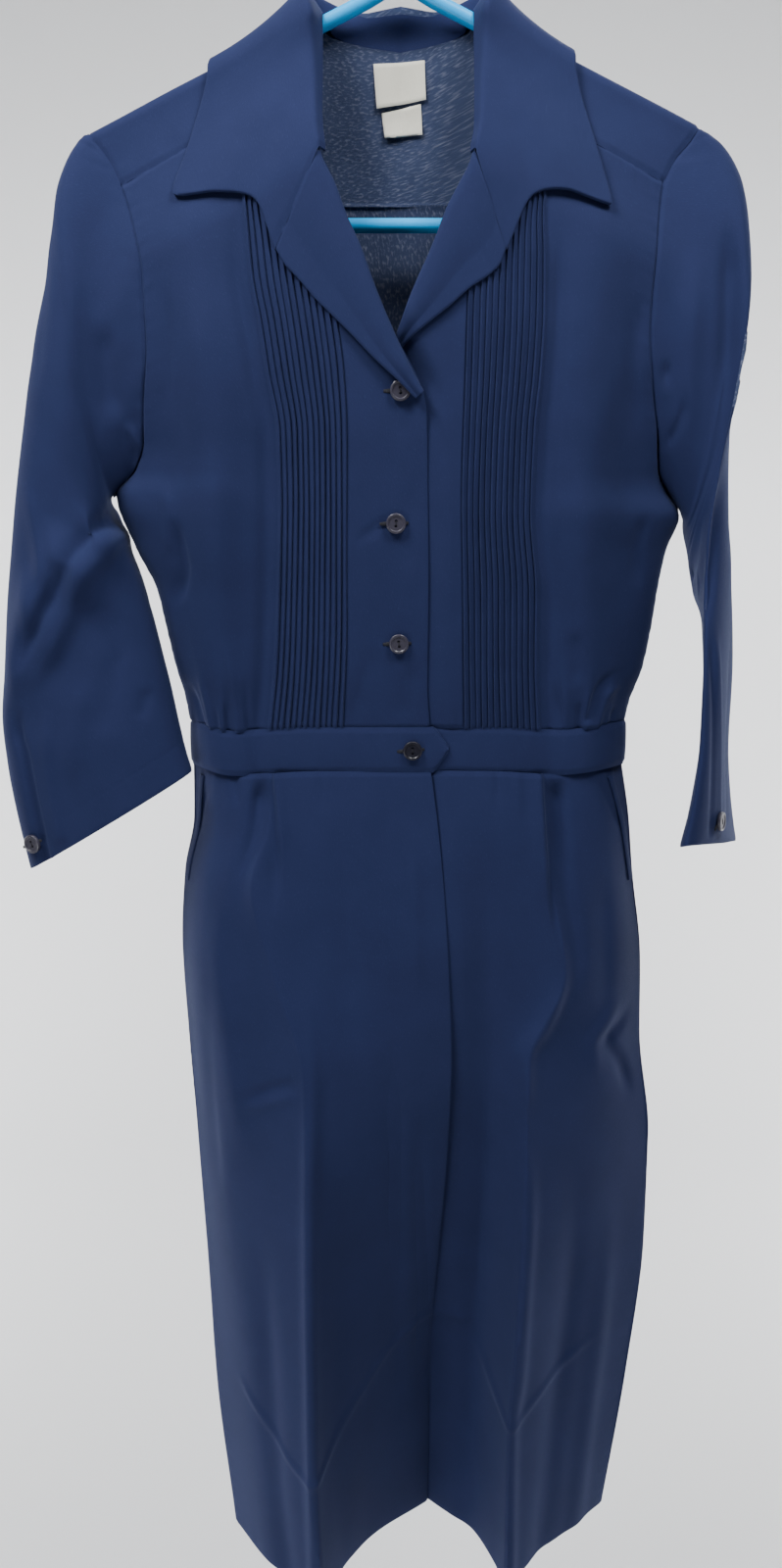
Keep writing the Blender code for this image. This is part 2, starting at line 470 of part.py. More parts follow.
def front_grid(side):
    """Return the outer base points of one front, and the height of its tucks over them."""
    sign = SIGN[side]
    heights = levels(side, JUNCTION_Z[side] - GAP)
    shares = (heights - WAIST_Z) / (heights[-1] - WAIST_Z)
    outer_slots = [math.sin(math.pi / 2 * k / SIDE_COLUMNS) for k in range(1, SIDE_COLUMNS + 1)]
    slots = [("inner", share, 0.0) for share in FRONT_INNER_SHARES[side]]
    for tuck in range(TUCKS):
        slots.append(("tuck", tuck / TUCKS, 0.0))
        slots.append(("tuck", (tuck + TUCK_CREST) / TUCKS, TUCK_HEIGHT))
    slots.append(("tuck", 1.0, 0.0))
    slots += [("outer", share, 0.0) for share in outer_slots]
    grid = np.zeros((len(shares), len(slots), 3))
    relief = np.zeros(grid.shape[:2])
    for c, (zone, share, height) in enumerate(slots):
        for r, level in enumerate(shares):
            z = heights[r]
            for _ in range(4):
                keys = {"inner": (INNER_X[side](z), TUCK_IN_X[side](z)),
                        "tuck": (TUCK_IN_X[side](z), TUCK_OUT_X[side](z)),
                        "outer": (TUCK_OUT_X[side](z), EDGE_X[side](z))}[zone]
                x = keys[0] + (keys[1] - keys[0]) * share
                top = float(ridge(x)) - (YOKE_DROP[side] - ARCH_TURN + ARCH) - GAP
                if zone == "outer":
                    top += (heights[-1] - top) * share**8
                z = WAIST_Z + (top - WAIST_Z) * level
            grid[r, c] = (x, body_y(x if abs(x) > 1e-4 else sign * 1e-4, z), z)
            relief[r, c] = height
    return grid, relief


def front_under(x, z):
    """Return how far the left front lies under the right one at a place."""
    placket = INNER_X["right"](z)
    share = float(ease(1 - (x - placket) / UNDER_FADE))
    sink = UNDER_SINK * hump(z + 0.308, 0.030) * float(ease(1 - (x - 0.012) / 0.030))
    return (CLOTH + GAP + 0.0002 + sink) * share


def build_fronts():
    """Build the two fronts and return the edge points of each at its armhole."""
    edges = {}
    for side in SIGN:
        grid, relief = front_grid(side)
        normals, fold = outward(grid, np.array([0.0, 0.3, -0.37]))
        under = ROWS_BELOW_UNDERARM + 1
        normals[:under, -1] = (SIGN[side], 0.0, 0.0)
        fold[:under, -1] = 1.0
        flatten(normals, 0)
        if side == "left":
            sunk = np.array([[front_under(p[0], p[2]) for p in row] for row in grid])
            grid = grid - normals * sunk[..., None]
        grid[:under, -1, 1] -= GAP / 2
        outer = grid + normals * relief[..., None]
        inner = grid - normals * CLOTH * fold
        inner[:under, -1, 1] = np.minimum(inner[:under, -1, 1], -GAP / 2)
        wall(f"bodice_front_{side}", outer, inner, finish("navy_cloth", NAVY, 0.85))
        armhole = slice(ROWS_BELOW_UNDERARM, -1)
        edges[side] = (outer[armhole, -1], inner[armhole, -1])
    return edges


# Stations of the yoke: shares of the front drop, shares of the back neckline along the armhole, and behind
YOKE_FRONT_SHARES = [1.0, 0.68, 0.42, 0.2245, 0.1122]
YOKE_BACK_SHARES = [(0.0, 0.0), (0.06, -0.0054), (0.13, -0.0108), (0.22, -0.0203), (0.32, -0.0334),
                    (0.43, None)]
YOKE_SEAM_SHARES = [(0.55, 0.80), (0.67, 0.58), (0.79, 0.37), (0.90, 0.18)]


def yoke_stations():
    """Return the neck and outer ends of the yoke's stations, from the right front seam to the left one."""
    halves = {}
    for side in SIGN:
        armhole = Track(YOKE_ARMHOLE[side])
        neck_x = BACK_NECK[side][0][1]
        drop = YOKE_DROP[side]
        rows = []
        for share in YOKE_FRONT_SHARES:
            q = drop * share
            rows.append((neck_x, q, float(armhole(q)), q))
        neck = Track(BACK_NECK[side])
        corner_x = float(BACK_EDGE_X[side](BACK_SEAM_Z))
        corner_q = -drop_to_q(float(ridge(corner_x)) - BACK_SEAM_Z)
        for share, q in YOKE_BACK_SHARES:
            x_n, q_n = neck(share)
            x_o = corner_x if q is None else float(armhole(q))
            rows.append((float(x_n), float(q_n), x_o, corner_q if q is None else q))
        for share, part in YOKE_SEAM_SHARES:
            x_n, q_n = neck(share)
            x_o = corner_x * part
            rows.append((float(x_n), float(q_n), x_o, -drop_to_q(float(ridge(x_o)) - BACK_SEAM_Z)))
        halves[side] = rows
    middle = (0.0, BACK_NECK["right"][-1][2], 0.0, -drop_to_q(float(ridge(0.0)) - BACK_SEAM_Z))
    return halves["right"] + [middle] + halves["left"][::-1]


YOKE_COLUMNS = [0.0, 0.18, 0.38, 0.60, 0.82, 1.0]


def build_yoke():
    """Build the yoke over both shoulders and return its edge points at each armhole."""
    grid = []
    for neck_x, neck_q, outer_x, outer_q in yoke_stations():
        row = []
        for share in YOKE_COLUMNS:
            x = neck_x + (outer_x - neck_x) * share
            row.append(over_shoulder(x, neck_q + (outer_q - neck_q) * share))
        grid.append(row)
    grid = np.array(grid)
    normals, fold = vertex_normals(grid)
    top_row = len(YOKE_FRONT_SHARES)
    if normals[top_row, 2, 2] < 0:
        normals = -normals
    inner = grid - normals * CLOTH / np.maximum(fold, 0.8)
    wall("yoke", grid, inner, finish("navy_cloth", NAVY, 0.85))
    count = len(YOKE_FRONT_SHARES) + len(YOKE_BACK_SHARES)
    edge, under = grid[:, -1], inner[:, -1]
    return {"right": (edge[:count], under[:count]), "left": (edge[::-1][:count], under[::-1][:count])}


BACK_SHARES = [math.sin(math.pi / 2 * k / 7) for k in range(-7, 8)]
BACK_ROWS_ABOVE = 5


def build_back():
    """Build the back of the bodice and return its edge points at each armhole."""
    seam = ROWS_BELOW_UNDERARM
    rows = seam + BACK_ROWS_ABOVE + 1
    grid = np.zeros((rows, len(BACK_SHARES), 3))
    edges = {}
    for side in SIGN:
        low = np.linspace(WAIST_Z, UNDERARM_Z[side], seam + 1)
        high = np.linspace(UNDERARM_Z[side], BACK_SEAM_Z - GAP, BACK_ROWS_ABOVE + 1)
        edges[side] = np.concatenate([low, high[1:]])
    for c, share in enumerate(BACK_SHARES):
        side = side_of(share if share else 1.0)
        for r in range(rows):
            middle_z = (edges["right"][r] + edges["left"][r]) / 2
            z = middle_z + (edges[side][r] - middle_z) * abs(share) ** 3
            x = float(BACK_EDGE_X[side](z)) * abs(share)
            grid[r, c] = (x, body_y(x if abs(x) > 1e-4 else 1e-4, z, False), z)
    normals, fold = outward(grid, np.array([0.0, -0.3, -0.37]))
    for column, side in ((0, "right"), (-1, "left")):
        normals[:seam + 1, column] = (SIGN[side], 0.0, 0.0)
        fold[:seam + 1, column] = 1.0
    flatten(normals, 0)
    outer = grid.copy()
    inner = grid - normals * CLOTH * fold
    for column in (0, -1):
        outer[:seam + 1, column, 1] += GAP / 2
        inner[:seam + 1, column, 1] = np.maximum(inner[:seam + 1, column, 1], GAP / 2)
    wall("bodice_back", outer, inner, finish("navy_cloth", NAVY, 0.85))
    high = slice(-2, seam, -1)
    return {side: (outer[high, c], inner[high, c]) for side, c in (("right", 0), ("left", -1))}


SEAM_STEP = 0.0006
CAP_BLEND = 0.4
CAP_SPLIT = 5


def sleeve_ring(row, count, split, ridge_at, ridge_height):
    """Return one ring of a sleeve, from the inner fold by the front to the outer fold and back."""
    outer = np.array(row[:3])
    inner = np.array(row[3:6])
    middle = (outer + inner) / 2
    half = (outer - inner) / 2
    turn = math.radians(row[8])
    front = np.array([-math.copysign(math.sin(turn), outer[0]), -math.cos(turn), 0.0])
    front_angles = np.linspace(math.pi, 0.0, split + 1)
    back_angles = -np.linspace(0.0, math.pi, count - split + 1)[1:-1]
    points = []
    for angle in np.concatenate([front_angles, back_angles]):
        along = math.copysign(abs(math.cos(angle)) ** 0.85, math.cos(angle))
        depth = row[6] if angle >= 0 else row[7]
        out = math.copysign(abs(math.sin(angle)) ** 0.85, math.sin(angle)) * depth
        if angle >= 0:
            out += ridge_height * math.sin(angle) ** 0.5 * float(hump(angle - ridge_at, RIDGE_WIDTH))
        points.append(middle + half * along + front * out)
    return np.array(points)


def sleeve_grids(side, ring_outer, ring_inner, split):
    """Return the outer and inner grids of one sleeve from its armhole ring to the cuff."""
    shift = np.array([SIGN[side] * SEAM_STEP, 0.0, 0.0])
    ridge_track = Track(SLEEVE_RIDGE[side])
    grid = [ring_outer + shift]
    for number, row in enumerate(SLEEVE[side]):
        degrees, height = ridge_track(number)
        grid.append(sleeve_ring(row, len(ring_outer), split, math.radians(float(degrees)), float(height)))
    grid = np.array(grid)
    grid[1] = grid[1] * (1 - CAP_BLEND) + grid[0] * CAP_BLEND
    axis = grid.mean(axis=1, keepdims=True)
    normals, fold = outward(grid, axis, closed=True)
    inner = grid - normals * CLOTH * np.minimum(fold, 1.3)
    inner[0] = ring_inner + shift
    return grid, inner, normals


def build_sleeves(fronts, yoke, back):
    """Build both sleeves on their armholes and return the grids."""
    grids = {}
    for side in SIGN:
        rings = []
        for k in (0, 1):
            rings.append(np.concatenate([fronts[side][k], yoke[side][k], back[side][k]]))
        split = len(fronts[side][0]) + CAP_SPLIT
        outer, inner, normals = sleeve_grids(side, rings[0], rings[1], split)
        wall(f"sleeve_{side}", outer, inner, finish("navy_cloth", NAVY, 0.85), closed=True)
        grids[side] = (outer, normals, split)
    return grids


FALL_SHARES = [0.16, 0.36, 0.60, 0.82, 1.0]
COLLAR_STATIONS = [0, 1, 1.6, 2, 2.35, 2.6, 2.8, 3, 3.2, 3.4, 3.65, 4, 4.5, 5, 5.5, 6, 7, 8, 9]
COLLAR_LIFT = 0.0010


def collar_section(row):
    """Return the visible line of the collar at one station, from the neck seam over the roll to the edge."""
    neck_x, neck_q, roll_x, roll_q, roll_h, edge_x, edge_q, edge_h = row
    neck = over_shoulder(neck_x, neck_q)
    roll = lifted(roll_x, roll_q, roll_h)
    base = neck + np.array([0.0, 0.0, GAP])
    if neck_q >= -0.01:
        base = neck + np.array([-np.sign(neck_x) * (GAP * 4 + COLLAR_WALL), 0.0, 0.0])
    points = [base, (base + roll) / 2, roll]
    for share in FALL_SHARES:
        x = roll_x + (edge_x - roll_x) * share
        q = roll_q + (edge_q - roll_q) * share
        height = edge_h + (roll_h - edge_h) * (1 - share) ** 2.2 + COLLAR_LIFT * float(hump(q, 0.02))
        points.append(lifted(x, q, max(height, COLLAR_WALL + TUCK_HEIGHT + GAP + 0.0002)))
    return points


def build_collar():
    """Build the collar from gorge to gorge."""
    halves = {}
    for side, table in COLLAR.items():
        track = Track([(number, *row) for number, row in enumerate(table)])
        halves[side] = [track(station) for station in COLLAR_STATIONS]
    rows = halves["right"][::-1] + halves["left"][1:]
    grid = np.array([collar_section(row) for row in rows])
    normals, fold = vertex_normals(grid)
    if normals[len(rows) // 2, -2, 1] < 0:
        normals = -normals
    inner = grid - normals * COLLAR_WALL / np.maximum(fold, 0.75)
    wall("collar", grid, inner, finish("navy_cloth", NAVY, 0.85))


LAPEL_SHARES = [0.0, 0.10, 0.35, 0.68, 1.0]


def build_lapels():
    """Build the lapel facings on the fronts."""
    for side in SIGN:
        grid = []
        for roll_x, roll_z, edge_x, edge_z, edge_h in LAPEL[side]:
            row = []
            for share in LAPEL_SHARES:
                x = roll_x + (edge_x - roll_x) * share
                z = roll_z + (edge_z - roll_z) * share
                height = edge_h + 0.0012 * math.sin(math.pi * min(share * 1.4, 1.0))
                if side == "left":
                    height -= front_under(x, z)
                row.append(lifted(x, drop_to_q(float(ridge(x)) - z), height))
            grid.append(row)
        grid = np.array(grid)
        normals, fold = outward(grid, np.array([0.0, 0.3, -0.25]))
        inner = grid - normals * (COLLAR_WALL - GAP) / np.maximum(fold, 0.9)
        wall(f"lapel_{side}", grid, inner, finish("navy_cloth", NAVY, 0.85))


BAND_LAP = 0.0330
BAND_HIDDEN = -0.0200
BAND_POINT = 0.0100


def band_path():
    """Return the places round the waistband: x, whether it is in front, and how far it lies under."""
    places = [(BAND_HIDDEN, True, 1.0), (0.006, True, 1.0), (BAND_LAP + 0.004, True, 1.0),
              (0.050, True, 0.35)]
    right = float(EDGE_X["right"](WAIST_Z))
    left = float(EDGE_X["left"](WAIST_Z))
    front_left = [0.070, 0.090, 0.110] + [left * math.sin(a) for a in np.radians([52, 62, 71, 79, 85])]
    places += [(x, True, 0.0) for x in front_left]
    places += [(left * math.sin(a), False, 0.0) for a in np.radians([90, 85, 79, 71, 62, 52, 38, 22, 6])]
    places += [(right * math.sin(a), False, 0.0) for a in np.radians([10, 26, 40, 52, 62, 71, 79, 85, 90])]
    places += [(right * math.sin(a), True, 0.0) for a in np.radians([85, 79, 71, 62, 52])]
    places += [(x, True, 0.0) for x in (-0.090, -0.070, -0.045, -0.028, 0.0, BAND_LAP - BAND_POINT, BAND_LAP)]
    return places


def build_waistband():
    """Build the waistband, whose pointed right end laps over the left one."""
    top = WAIST_Z - GAP
    bottom = BAND_BOTTOM_Z
    middle = (top + bottom) / 2
    places = band_path()
    grid = np.zeros((3, len(places), 3))
    for c, (x, front, under) in enumerate(places):
        y = body_y(x if abs(x) > 1e-4 else 1e-4, WAIST_Z, front)
        last = c == len(places) - 1
        for r, z in enumerate((bottom, middle, top)):
            grid[r, c] = (x, y, middle + (z - middle) * (0.10 if last else 1.0))
    normals, fold = outward(grid, np.array([0.0, 0.0, middle]))
    sunk = np.array([under for _, _, under in places])[None, :, None] * (BAND_WALL + GAP + 0.0001)
    flat = normals.copy()
    flat[..., 2] = 0.0
    flat /= np.linalg.norm(flat, axis=2, keepdims=True)
    outer = grid + flat * (0.0004 - sunk)
    inner = outer - flat * BAND_WALL
    wall("waistband", outer, inner, finish("navy_cloth", NAVY, 0.85))


def skirt_rings():
    """Return the closed rings of the skirt, from the front edge by the right side and back to the left."""
    tracks = {side: Track(rows) for side, rows in SKIRT.items()}
    depth = Track(SKIRT_BACK_DEPTH)
    rings = []
    for z in SKIRT_LEVELS:
        halves = {}
        for side in SIGN:
            values = tracks[side](z)
            side_p, flank, crest, foot, edge = values.reshape(5, 2)
            outer = Track([(0.0, *side_p), (0.5, *flank), (1.0, *crest)])
            inner = Track([(0.0, *crest), (0.5, *foot), (1.0, *edge)])
            points = [outer(share) for share in RIDGE_SHARES] + [inner(share) for share in FOOT_SHARES]
            points = np.array(points)
            reach = float(ease(1 + (z - BAND_BOTTOM_Z) / PLEAT_REACH[side]))
            start = float(ease((BAND_BOTTOM_Z - z) / 0.020))
            step = np.abs(points[:, 0]) - abs(crest[0]) - PLEAT_STEP
            points[:, 1] += PLEAT_DEPTH * reach * start * hump(step, PLEAT_WIDTH)
            halves[side] = points
        right = halves["right"][::-1]
        left = halves["left"][:-1]
        start = right[-1]
        end = left[0]
        back = []
        for angle in np.linspace(0.0, math.pi, BACK_COLUMNS + 2)[1:-1]:
            share = (1 - math.cos(angle)) / 2
            rise = math.sin(angle) ** 0.75
            back.append(start + (end - start) * share + np.array([0.0, float(depth(z)) * rise]))
        plan = np.concatenate([right, np.array(back), left])
        rings.append(np.column_stack([plan, np.full(len(plan), z)]))
    return np.array(rings)


def build_skirt():
    """Build the skirt's three pieces and return the two front grids with their normals."""
    rings = skirt_rings()
    centre = np.array([0.012, 0.0, -0.88])
    normals, fold = outward(rings, centre, closed=True)
    flatten(normals, 0)
    thick = CLOTH * fold
    half = len(RIDGE_SHARES) + len(FOOT_SHARES)
    right = slice(0, half)
    back = slice(half - 1, half + BACK_COLUMNS + 1)
    left_first = half + BACK_COLUMNS
    material = finish("navy_cloth", NAVY, 0.85)
    sheets = {}
    for name, columns in (("skirt_front_right", right), ("skirt_back", back)):
        outer = rings[:, columns].copy()
        inner = outer - normals[:, columns] * thick[:, columns]
        sheets[name] = [outer, inner]
    under = [3, 2, 1, 0]
    base = np.concatenate([rings[:, left_first:], rings[:, under[::-1]]], axis=1)
    turn = np.concatenate([normals[:, left_first:], normals[:, under[::-1]]], axis=1)
    deep = np.concatenate([thick[:, left_first:], thick[:, under[::-1]]], axis=1)
    plain = base.shape[1] - len(under)
    sunk = np.zeros(base.shape[1])
    sunk[plain:] = 1.0
    sunk[plain - 1] = 0.55
    sunk[plain - 2] = 0.15
    outer = base - turn * (sunk * (CLOTH + GAP + 0.0003))[None, :, None]
    sheets["skirt_front_left"] = [outer, outer - turn * deep]
    for name, column, other, other_column in (("skirt_front_right", -1, "skirt_back", 0),
                                              ("skirt_front_left", 0, "skirt_back", -1)):
        for k in (0, 1):
            edge = sheets[name][k][:, column]
            next_edge = sheets[other][k][:, other_column]
            apart = np.array([0.0, GAP * 0.75, 0.0])
            sheets[name][k][:, column] = edge - apart
            sheets[other][k][:, other_column] = next_edge + apart
    for name, (outer, inner) in sheets.items():
        wall(name, outer, inner, material)
    fronts = {"right": (sheets["skirt_front_right"][0][:, ::-1], normals[:, right][:, ::-1]),
              "left": (sheets["skirt_front_left"][0], turn)}
    return fronts


def on_grid(grid, row, column):
    """Return the value of a grid between its rows and columns."""
    r = min(int(row), len(grid) - 2)
    c = min(int(column), grid.shape[1] - 2)
    u = row - r
    v = column - c
    low = grid[r, c] * (1 - v) + grid[r, c + 1] * v
    high = grid[r + 1, c] * (1 - v) + grid[r + 1, c + 1] * v
    return low * (1 - u) + high * u


def build_pockets(fronts):
    """Build the slanted pocket edges, made from the skirt fronts' own points and moved out."""
    for side, ((row_0, column_0), (row_1, column_1)) in POCKETS.items():
        grid, normals = fronts[side]
        rows = []
        for k in range(9):
            share = k / 8
            row = row_0 + (row_1 - row_0) * share
            column = column_0 + (column_1 - column_0) * share
            inner_end = on_grid(grid, row, column)
            step = on_grid(grid, row, column + 0.9) - inner_end
            wide = 0.9 * POCKET_WIDTH / max(np.linalg.norm(step), 1e-6)
            line = []
            for part in (0.0, 0.5, 1.0):
                point = on_grid(grid, row, column + wide * part)
                normal = on_grid(normals, row, column + wide * part)
                line.append(point + normal / np.linalg.norm(normal) * (GAP * 2 + POCKET_WALL))
            rows.append(line)
        outer = np.array(rows)
        turn, _ = outward(outer, np.array([0.0, 0.0, -0.6]))
        wall(f"pocket_edge_{side}", outer, outer - turn * POCKET_WALL, finish("navy_cloth", NAVY, 0.85))


def button_mesh():
    """Return the mesh of a two-hole button, with its back at the origin and its face along +Z."""
    bpy.ops.mesh.primitive_cylinder_add(vertices=20, radius=BUTTON_RADIUS, depth=BUTTON_HEIGHT,
                                        location=(0.0, 0.0, BUTTON_HEIGHT / 2))
    blank = bpy.context.active_object
    bevel = blank.modifiers.new("rim", "BEVEL")
    bevel.width = BUTTON_HEIGHT * 0.28
    bevel.segments = 1
    cutters = bpy.data.collections["cutters"]
    for sign in (-1, 1):
        bpy.ops.mesh.primitive_cylinder_add(vertices=8, radius=HOLE_RADIUS, depth=BUTTON_HEIGHT * 3,
                                            location=(0.0, sign * HOLE_OFFSET, BUTTON_HEIGHT / 2))
        cutter = bpy.context.active_object
        cutter.name = f"button_hole_{sign}"
        for collection in list(cutter.users_collection):
            collection.objects.unlink(cutter)
        cutters.objects.link(cutter)
        cutter.hide_render = True
        cutter.display_type = "WIRE"
        hole = blank.modifiers.new("hole", "BOOLEAN")
        hole.operation = "DIFFERENCE"
        hole.solver = "EXACT"
        hole.object = cutter
    bpy.context.view_layer.update()
    evaluated = blank.evaluated_get(bpy.context.evaluated_depsgraph_get())
    mesh = bpy.data.meshes.new_from_object(evaluated)
    mesh.transform(blank.matrix_world)
    bpy.data.objects.remove(blank)
    return mesh


def place_button(name, mesh, point, normal, tilt):
    """Place one button on the cloth, facing along the normal."""
    part = add_object(name, mesh.copy(), finish("button_navy", NAVY_DARK, 0.35))
    normal = Vector(normal).normalized()
    across = Vector((1.0, 0.0, 0.0))
    across = (across - normal * across.dot(normal)).normalized()
    up = normal.cross(across)
    turn = Matrix((across, up, normal)).transposed() @ Matrix.Rotation(math.radians(tilt), 3, "Z")
    part.matrix_world = Matrix.Translation(Vector(point)) @ turn.to_4x4()


def build_buttons(sleeves):
    """Build the bodice, waist and cuff buttons."""
    mesh = button_mesh()
    for name, x, z, tilt in BODICE_BUTTONS:
        q = drop_to_q(float(ridge(x)) - z)
        base = lifted(x, q, GAP * 1.6)
        place_button(name, mesh, base, lifted(x, q, 1.0) - lifted(x, q, 0.0), tilt)
    name, x, z, tilt = WAIST_BUTTON
    y = body_y(x, WAIST_Z)
    slope = (body_y(x + 0.004, WAIST_Z) - body_y(x - 0.004, WAIST_Z)) / 0.008
    place_button(name, mesh, (x, y - 0.0004 - GAP * 1.6, z), (slope, -1.0, 0.0), tilt)
    for name, side, back, degrees in CUFF_BUTTONS:
        grid, normals, split = sleeves[side]
        angle = abs(degrees) / 180
        column = split * (1 - angle) if degrees > 0 else split + (grid.shape[1] - split) * angle
        point = on_grid(grid, grid.shape[0] - 1 - back, column)
        normal = on_grid(normals, grid.shape[0] - 1 - back, column)
        normal /= np.linalg.norm(normal)
        place_button(name, mesh, point + normal * GAP * 3, normal, 20.0)


def build_labels():
    """Build the two bare labels on the inside of the back."""
    for name, x_0, z_0, width, height in (NECK_LABEL, SIZE_LABEL):
        rows = []
        for r in (-0.5, 0.0, 0.5):
            line = []
            for c in (-0.5, -0.17, 0.17, 0.5):
                x = x_0 + width * c
                z = z_0 + height * r
                depth = body_y(x if abs(x) > 1e-4 else 1e-4, z, False) - CLOTH * 1.25 - GAP
                line.append((x, depth - LABEL_WALL, z))
            rows.append(line)
        front = np.array(rows)
        wall(name, front, front + np.array([0.0, LABEL_WALL, 0.0]), finish("label_white", WHITE, 0.9))


def curve_mesh(name, points, radius, cyclic):
    """Return the welded mesh of a round tube through the points."""
    curve = bpy.data.curves.new(name, "CURVE")
    curve.dimensions = "3D"
    curve.bevel_depth = radius
    curve.bevel_resolution = 3
    curve.use_fill_caps = True
    spline = curve.splines.new("POLY")
    spline.points.add(len(points) - 1)
    for k, point in enumerate(points):
        spline.points[k].co = (*point, 1.0)
    spline.use_cyclic_u = cyclic
    tube = bpy.data.objects.new(name, curve)
    bpy.data.collections["cutters"].objects.link(tube)
    bpy.context.view_layer.update()
    evaluated = tube.evaluated_get(bpy.context.evaluated_depsgraph_get())
    mesh = bpy.data.meshes.new_from_object(evaluated)
    bpy.data.objects.remove(tube)
    bm = bmesh.new()
    bm.from_mesh(mesh)
    bmesh.ops.remove_doubles(bm, verts=bm.verts, dist=1e-6)
    bm.to_mesh(mesh)
    bm.free()
    return mesh


def hanger_loop():
    """Return the middle line of the hanger's arms, rounded ends and bar."""
    spare = APEX_Z - BAR_Z - ARM_SLOPE * HANGER_HALF
    end_radius = spare / (1 + math.hypot(1.0, ARM_SLOPE) - ARM_SLOPE)
    centre_x = HANGER_HALF - end_radius
    centre_z = BAR_Z + end_radius
    lean = math.atan(ARM_SLOPE)
    right_end = []
    for k in range(8):
        angle = math.pi / 2 - lean - (math.pi - lean) * k / 7
        right_end.append((centre_x + end_radius * math.cos(angle), centre_z + end_radius * math.sin(angle)))
    left_end = [(-x, z) for x, z in right_end[::-1]]
    top = [(-0.012, APEX_Z - 0.0050), (0.0, APEX_Z - 0.0016), (0.012, APEX_Z - 0.0050)]
    arm = (centre_x / 2, APEX_Z - centre_x / 2 * ARM_SLOPE)
    points = top + [arm] + right_end + [(0.0, BAR_Z)] + left_end + [(-arm[0], arm[1])]
    return [(x, 0.0, z) for x, z in points]


def hook_line():
    """Return the middle line of the hook, from inside the apex up and over."""
    turn = HOOK_RADIUS + TUBE_RADIUS
    centre_z = TUBE_RADIUS - turn
    points = [(0.0, APEX_Z + 0.001), (0.0, APEX_Z + 0.016), (0.0010, centre_z - turn - 0.0060)]
    for k in range(15):
        angle = math.radians(-78.0 + 258.0 * k / 14)
        points.append((turn * math.cos(angle), centre_z + turn * math.sin(angle)))
    points.append((-turn - 0.0010, centre_z - 0.0080))
    return [(x, 0.0, z) for x, z in points]


def build_hanger():
    """Build the hanger as one moulding: loop, hook and the web at the apex."""
    loop = curve_mesh("hanger_loop", hanger_loop(), TUBE_RADIUS, True)
    hook = curve_mesh("hanger_hook", hook_line(), TUBE_RADIUS, False)
    part = add_object("hanger", loop, finish("hanger_blue", BLUE, 0.25))
    other = bpy.data.objects.new("hook_shape", hook)
    other.hide_render = True
    other.display_type = "WIRE"
    bpy.data.collections["cutters"].objects.link(other)
    join = part.modifiers.new("hook", "BOOLEAN")
    join.operation = "UNION"
    join.solver = "EXACT"
    join.object = other
    return part


def main():
    """Clear the scene and build every piece."""
    for item in list(bpy.data.objects):
        bpy.data.objects.remove(item)
    for name in (COLLECTION, "cutters"):
        collection = bpy.data.collections.new(name)
        bpy.context.scene.collection.children.link(collection)
    fronts = build_fronts()
    yoke = build_yoke()
    back = build_back()
    sleeves = build_sleeves(fronts, yoke, back)
    build_collar()
    build_lapels()
    build_waistband()
    skirt = build_skirt()
    build_pockets(skirt)
    build_buttons(sleeves)
    build_labels()
    build_hanger()


main()
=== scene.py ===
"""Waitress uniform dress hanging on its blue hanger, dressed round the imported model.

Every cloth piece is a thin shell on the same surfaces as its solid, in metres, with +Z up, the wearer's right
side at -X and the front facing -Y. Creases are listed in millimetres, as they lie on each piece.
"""
from __future__ import annotations

import logging
import math
from dataclasses import dataclass
from enum import Enum
from typing import Callable, Iterable, Sequence

import bpy
import numpy as np
from mathutils import Matrix, Vector, noise

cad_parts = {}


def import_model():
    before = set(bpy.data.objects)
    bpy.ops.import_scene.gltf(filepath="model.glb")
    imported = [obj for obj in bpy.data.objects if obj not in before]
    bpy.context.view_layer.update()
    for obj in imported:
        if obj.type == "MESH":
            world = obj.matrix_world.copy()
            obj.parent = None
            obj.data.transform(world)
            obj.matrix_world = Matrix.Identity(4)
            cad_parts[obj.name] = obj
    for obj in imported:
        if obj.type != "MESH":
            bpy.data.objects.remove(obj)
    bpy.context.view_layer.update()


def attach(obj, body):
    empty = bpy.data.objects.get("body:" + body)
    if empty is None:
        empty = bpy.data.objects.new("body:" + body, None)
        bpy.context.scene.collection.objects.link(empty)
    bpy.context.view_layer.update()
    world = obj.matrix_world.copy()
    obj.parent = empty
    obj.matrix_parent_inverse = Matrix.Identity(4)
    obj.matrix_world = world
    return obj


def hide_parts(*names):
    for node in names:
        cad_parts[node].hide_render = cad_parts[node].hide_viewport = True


LOG = logging.getLogger("waitress_dress")
MM = 0.001
TENTHS_PER_METRE = 10_000
HAIR = 1e-4
Grid = np.ndarray
Rows = Sequence[Sequence[float]]


class Side(str, Enum):
    """The wearer's side that a piece belongs to."""

    RIGHT = "right"
    LEFT = "left"

    @property
    def sign(self) -> float:
        """Sign of x on this side."""
        return -1.0 if self is Side.RIGHT else 1.0


class Slot(str, Enum):
    """Material slots of the record."""

    CLOTH = "navy_cloth"
    BUTTON = "button_navy"
    LABEL = "label_white"
    HANGER = "hanger_blue"


CLOTH = 0.0012
BAND_WALL = 0.0020
COLLAR_WALL = 0.0016
GAP = 0.0003

TUBE_RADIUS = 0.0045
HOOK_RADIUS = 0.0200
APEX_Z = -0.085
ARM_SLOPE = 0.468
HANGER_HALF = 0.1945
BAR_Z = -0.2220

WAIST_Z = -0.5405
BAND_BOTTOM_Z = -0.5705
HEM_Z = -1.1900
BACK_SEAM_Z = -0.2050
YOKE_DROP = {Side.RIGHT: 0.0448, Side.LEFT: 0.0482}

ROWS_BESIDE_ARMHOLE = 7
TUCKS = 13
TUCK_HEIGHT = 0.0010

BUTTON_RADIUS = 0.0064
BUTTON_HEIGHT = 0.0026
HOLE_RADIUS = 0.0009
HOLE_OFFSET = 0.0016


